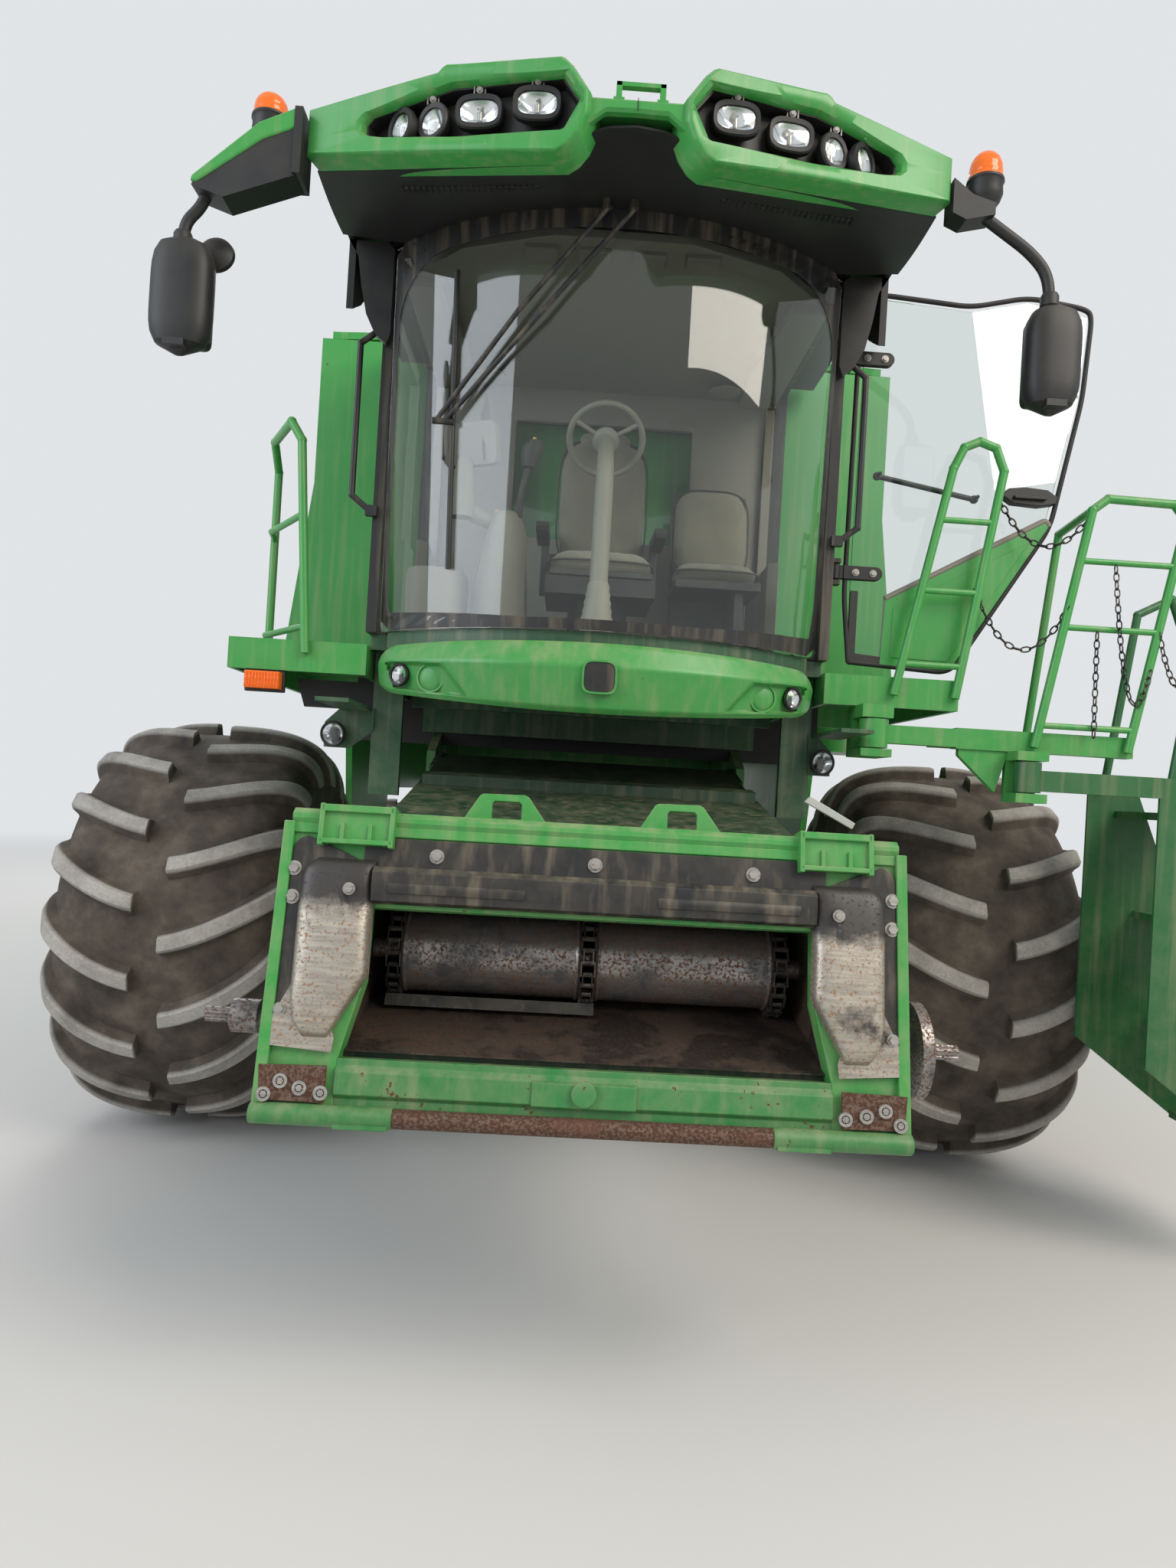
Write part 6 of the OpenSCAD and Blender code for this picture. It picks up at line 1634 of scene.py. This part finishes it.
# %% Mirror heads, arms and glasses
MIRROR_Y = -2012.0
heads, glasses = [], []
for x, z0, z1, half in ((-1441, 3106, 3494, 100), (1438, 3104, 3476, 92)):
    t = np.linspace(0, 1, 13)
    swell = (1 - np.abs(2 * t - 1) ** 5) ** 0.4
    levels = [(x, MIRROR_Y, z0 + (z1 - z0) * k, max(half * (0.72 + 0.28 * s) * s, 14),
               max(62 * s, 10)) for k, s in zip(t, np.maximum(swell, 0.12))]
    heads.append(stacked(levels, 2.7, 40))
    window = cut_rays([(x - half + 18, z0 + 40), (x + half - 18, z0 + 40), (x + half - 18, z1 - 44),
                       (x - half + 18, z1 - 44)], (x, (z0 + z1) / 2), turn_about[::2])
    soft = rounded(np.column_stack([window[:, 0], 0 * window[:, 0], window[:, 1]]), 20, 3)[:, ::2]
    heads.append(slab([tuple(p) for p in soft], MIRROR_Y + 40, MIRROR_Y + 63, "y"))
    inner = [(px + (x - px) * 0.07, pz + ((z0 + z1) / 2 - pz) * 0.04) for px, pz in soft]
    glasses.append(slab(inner, MIRROR_Y + 60, MIRROR_Y + 65, "y"))
    heads.append(cuboid((x - 34, MIRROR_Y - 58, z0 + 12), (x + 34, MIRROR_Y - 20, z0 + 34)))
ROUND_MIRROR = (0, -1, 0.1), (-1372, MIRROR_Y + 90, 3486)
round_back = turned([(2, 26), (40, 22), (58, 8), (61, -6), (52, -12), (2, -12)], sides=36)
heads.append(turned_to(round_back, *ROUND_MIRROR))
round_glass = turned([(2, -14), (50, -13), (51, -11)], sides=36)
glasses.append(turned_to(round_glass, *ROUND_MIRROR))
arm_low = slab([(-1082, 3688), (-1310, 3600), (-1412, 3634), (-1400, 3652), (-1200, 3800),
                (-1082, 3850)], MIRROR_Y - 60, MIRROR_Y + 50, "y")
arm_cap = slab([(-1082, 3840), (-1190, 3794), (-1396, 3640), (-1418, 3646), (-1410, 3664),
                (-1206, 3850), (-1082, 3908)], MIRROR_Y - 66, MIRROR_Y + 56, "y")
bends = [tube(rounded([(-1380, MIRROR_Y, 3640), (-1400, MIRROR_Y, 3590), (-1446, MIRROR_Y, 3540),
                       (-1450, MIRROR_Y, 3440)], 40, 8), 19, 16),
         tube(rounded([(1150, MIRROR_Y, 3772), (1352, MIRROR_Y, 3640), (1414, MIRROR_Y, 3566),
                       (1420, MIRROR_Y, 3430)], 60, 10), 19, 16)]
for x in (-1450, 1420):
    bends.append(turned([(2, 30), (25, 28), (30, 18), (30, -14), (24, -22), (2, -22)],
                        (x, MIRROR_Y, 3480), "z", 24))
bracket = [slab([(1064, 3850), (1064, 3735), (1110, 3715), (1206, 3738), (1206, 3778),
                 (1130, 3800)], MIRROR_Y - 42, MIRROR_Y + 42, "y"),
           cuboid((-1092, MIRROR_Y - 70, 3690), (-1066, MIRROR_Y + 60, 3905))]
piece("mirror_backs_and_arms", heads + bends + [arm_low] + bracket, black_moulding, "chassis",
      bevel=4, replaces=("mirrors",), smooth=45)
piece("right_mirror_arm_cap", [arm_cap], green_enamel, "chassis", bevel=9)
piece("mirror_glasses", glasses, mirror_glass, "chassis")
print("mirrors", len(heads), "backs and frames")

# %% [markdown]
# A beacon's dome is one turned profile in which every second ring stands out by a millimetre.
# Its rubber foot is another, with a collar and a waist.

# %% Beacons
domes, feet = [], []
for x, z0, z1, z2 in ((-1189, 3800, 3898, 3978), (1182, 3776, 3868, 3966)):
    high = z2 - z1
    rim = [(57.0, 0.0), (57.0, 6.0)]
    k = np.linspace(0.1, 1, 14)
    rim += [(54 * math.sqrt(max(1 - s ** 3.2, 0)) + (0.9 if i % 2 else 0), 6 + (high - 6) * s)
            for i, s in enumerate(k[:-1])] + [(2.0, high)]
    domes.append(turned(rim, (x, MIRROR_Y, z1), "z", 40))
    drop = z1 - z0
    feet.append(turned([(2, 3), (60, 2), (61, -6), (56, -12), (58, -drop * 0.5), (50, -drop * 0.75),
                        (34, -drop), (2, -drop)], (x, MIRROR_Y, z1), "z", 40))
piece("beacon_domes", domes, amber_lens, "chassis", smooth=50, replaces=("beacons",))
piece("beacon_rubber_feet", feet, black_moulding, "chassis", smooth=45)
print("beacons", len(domes))
# %% [markdown]
# ## Feeder tunnel and the painted shade behind it
# The tunnel's floor and walls are scoured brown by the crop. Black sheets behind its pivot and
# under the cab are painted shade, closing the view to the threshing body. A pale prop lies
# beside the tunnel, ready to hold it up for repairs.

# %% Tunnel lining, painted shade sheets and prop
floor_y = np.array([-2590.0, -500.0])
floor_z = 1028.5 + (1368.5 - 1028.5) * (floor_y + 2560) / (2560 - 480)
tunnel = [slab([(floor_y[0], floor_z[0]), (floor_y[1], floor_z[1]), (floor_y[1], floor_z[1] + 4),
                (floor_y[0], floor_z[0] + 4)], -658, 658, "x")]
tunnel += both(slab([(-2600, 1030), (-500, 1366), (-500, 1872), (-2500, 1530)], 655.5, 659, "x"))
piece("tunnel_lining", tunnel, tunnel_steel, "feeder_house")
# Painted shade: black sheets where the body behind the feeder and the space under the cab lie in
# shadow.
painted_shade_sheets = [cuboid((-1150, -300, 1950), (1150, -288, 2322))]
painted_shade_sheets += [cuboid((x, -306, 1960), (x + 30, -299, 2316)) for x in range(-1050, 1051, 300)]
painted_shade_sheets.append(slab([(-1216, 2152), (-1180, 2040), (-800, 2040), (-800, 2152)], -1180, -1168, "y"))
piece("black_painted_shade_sheets", painted_shade_sheets, black_moulding, "chassis")
prop = [slab([(623, 1768), (771, 1694), (780, 1712), (640, 1786)], -2316, -2300, "y")]
piece("feeder_prop", prop, pale_enamel, "feeder_house", bevel=2)
print("tunnel floor rises", round(float(floor_z[1] - floor_z[0])), "mm")

# %% [markdown]
# ## Wheel bolts
# Ten wheel bolts hold each front rim to its hub and eight each rear rim, round a domed cap.

# %% Bolts and caps of the wheels
DISC_OUT, HUB_OUT = 84, 90


def wheel_dress(track, y, z, ring_r, count, cap_r):
    """Bolts round a ring on the disc's outer face and a cap over the hub's end."""
    bolts = [hex_bolt(30, (1, 0, 0), (track + DISC_OUT, *spot))
             for spot in arc((y, z), ring_r, 0, 360 - 360 / count, count)]
    cap = turned([(cap_r, -30), (cap_r, 0), (cap_r * 0.9, 12), (cap_r * 0.5, 20), (3, 22)],
                 sides=40)
    bolts.append(turned_to(cap, (1, 0, 0), (track + HUB_OUT, y, z)))
    return bolts


for end, dress in (("front", wheel_dress(*HUBS["front"], 190, 10, 96)),
                   ("rear", wheel_dress(*HUBS["rear"], 140, 8, 66))):
    for side, shapes in (("left", dress), ("right", [mirrored(s) for s in dress])):
        piece(f"{end}_wheel_bolts_{side}", shapes, yellow_enamel, f"{end}_wheel_{side}")
print("wheel bolts set")

# %% [markdown]
# ## Side panels, hood and rear
# The big side panels are pressed sheets with a raised field in each door, a black latch at
# its edge and louvres where the engine bay breathes. Red lamps, reflectors and blank plates
# stand at the rear corners.

# %% Pressed fields, latches and louvres
PROUD, CORNER = 6.0, 60.0


def field_x(y0, y1, z0, z1, x):
    """A raised field with round corners on a wall square to X."""
    corners = [(y0, 0, z0), (y1, 0, z0), (y1, 0, z1), (y0, 0, z1), (y0, 0, z0)]
    line = rounded(corners, CORNER)[:-1]
    return slab([(p[0], p[2]) for p in line], x - 3, x + PROUD, "x")


fields, latches, louvres = [], [], []
for y0, y1, z0, z1 in ((1240, 2340, 1760, 2620), (2460, 3540, 1800, 2620), (3660, 4560, 1800, 2620),
                       (4680, 5540, 1800, 2480), (1620, 2300, 1300, 1680)):
    fields += both(field_x(y0, y1, z0, z1, 1500))
    if z0 > 1700:
        latches += both(cuboid((1498, y0 + 50, 2150), (1514, y0 + 82, 2270)))
for y0, y1, z0, z1 in ((2620, 3040, 2760, 3460), (3980, 4420, 2760, 3400)):
    fields += both(field_x(y0, y1, z0, z1, 1200))
fields.append(field_x(3120, 3900, 2760, 3460, 1200))
for z in range(2800, 3420, 44):
    louvres.append(slab([(1206, z), (1224, z + 2), (1206, z + 30)], 3180, 3840, "y"))
piece("pressed_panel_fields", fields, green_enamel, "chassis", bevel=5)
piece("engine_bay_louvres", louvres, green_enamel, "chassis")
piece("panel_latches", latches, black_moulding, "chassis", bevel=4)
tail = both(cuboid((1330, 5896, 2100), (1496, 5926, 2310)))
tail += both(cuboid((1466, 5860, 2140), (1498, 5904, 2180)))
red = both(cuboid((1342, 5924, 2112), (1484, 5934, 2298)))
piece("tail_lamp_cases", tail, black_moulding, "chassis", bevel=5)
piece("tail_lamp_lenses", red, red_lens, "chassis", bevel=4)
print(len(fields), "fields,", len(louvres), "louvres")

# %% [markdown]
# ## Intake screen, auger and exhaust
# The round screen is a mesh of rods over a dark drum. The auger tube has flanges where its
# lengths bolt together and ends in a ribbed rubber boot.

# %% Screen mesh, auger flanges and boot
SCREEN_X, SCREEN_MID = -1262, (3500, 3110)
AUGER_X, AUGER_Z = 1440, 2905
mesh_rods = []
for r in range(110, 391, 35):
    hoop = arc(SCREEN_MID, r, 0, 351, 40)
    mesh_rods.append(tube(np.column_stack([np.full(40, SCREEN_X), hoop]), 3, 6, True))
for ends in zip(*(arc(SCREEN_MID, r, 0, 345, 24) for r in (90, 388))):
    mesh_rods.append(tube([(SCREEN_X - 1, *end) for end in ends], 3.5, 6))
piece("intake_screen_mesh", mesh_rods, zinc_steel, "cooling_screen", smooth=60)
flanges = []
for y in (900, 2700, 4500, 5960):
    ring = turned([(160, -12), (198, -12), (200, -8), (200, 8), (198, 12), (160, 12)], sides=48)
    flanges.append(turned_to(ring, (0, 1, 0), (AUGER_X, y, AUGER_Z)))
    flanges += [turned_to(hex_bolt(18, (0, 0, 1), (186 * math.cos(t), 186 * math.sin(t), 12)),
                          (0, 1, 0), (AUGER_X, y, AUGER_Z)) for t in np.arange(8) * math.pi / 4]
piece("auger_flanges", flanges, green_enamel, "unloading_auger")
boot_line = [(161 + (4 if i % 2 else 0), 2560 - 14 * i) for i in range(19)]
boot_line += [(150, 2308), (150, 2560)]
boot = turned(boot_line, (AUGER_X, 6100, 0), "z", 40)
piece("auger_spout_boot", [boot], black_seal, "unloading_auger", smooth=60)
clamps = [turned([(70, -14), (80, -14), (80, 14), (70, 14)], (500, 2750, z), "z", 32)
          for z in (3620, 3900)]
piece("exhaust_clamps", clamps, zinc_steel, "chassis")
print("screen", len(mesh_rods), "rods")
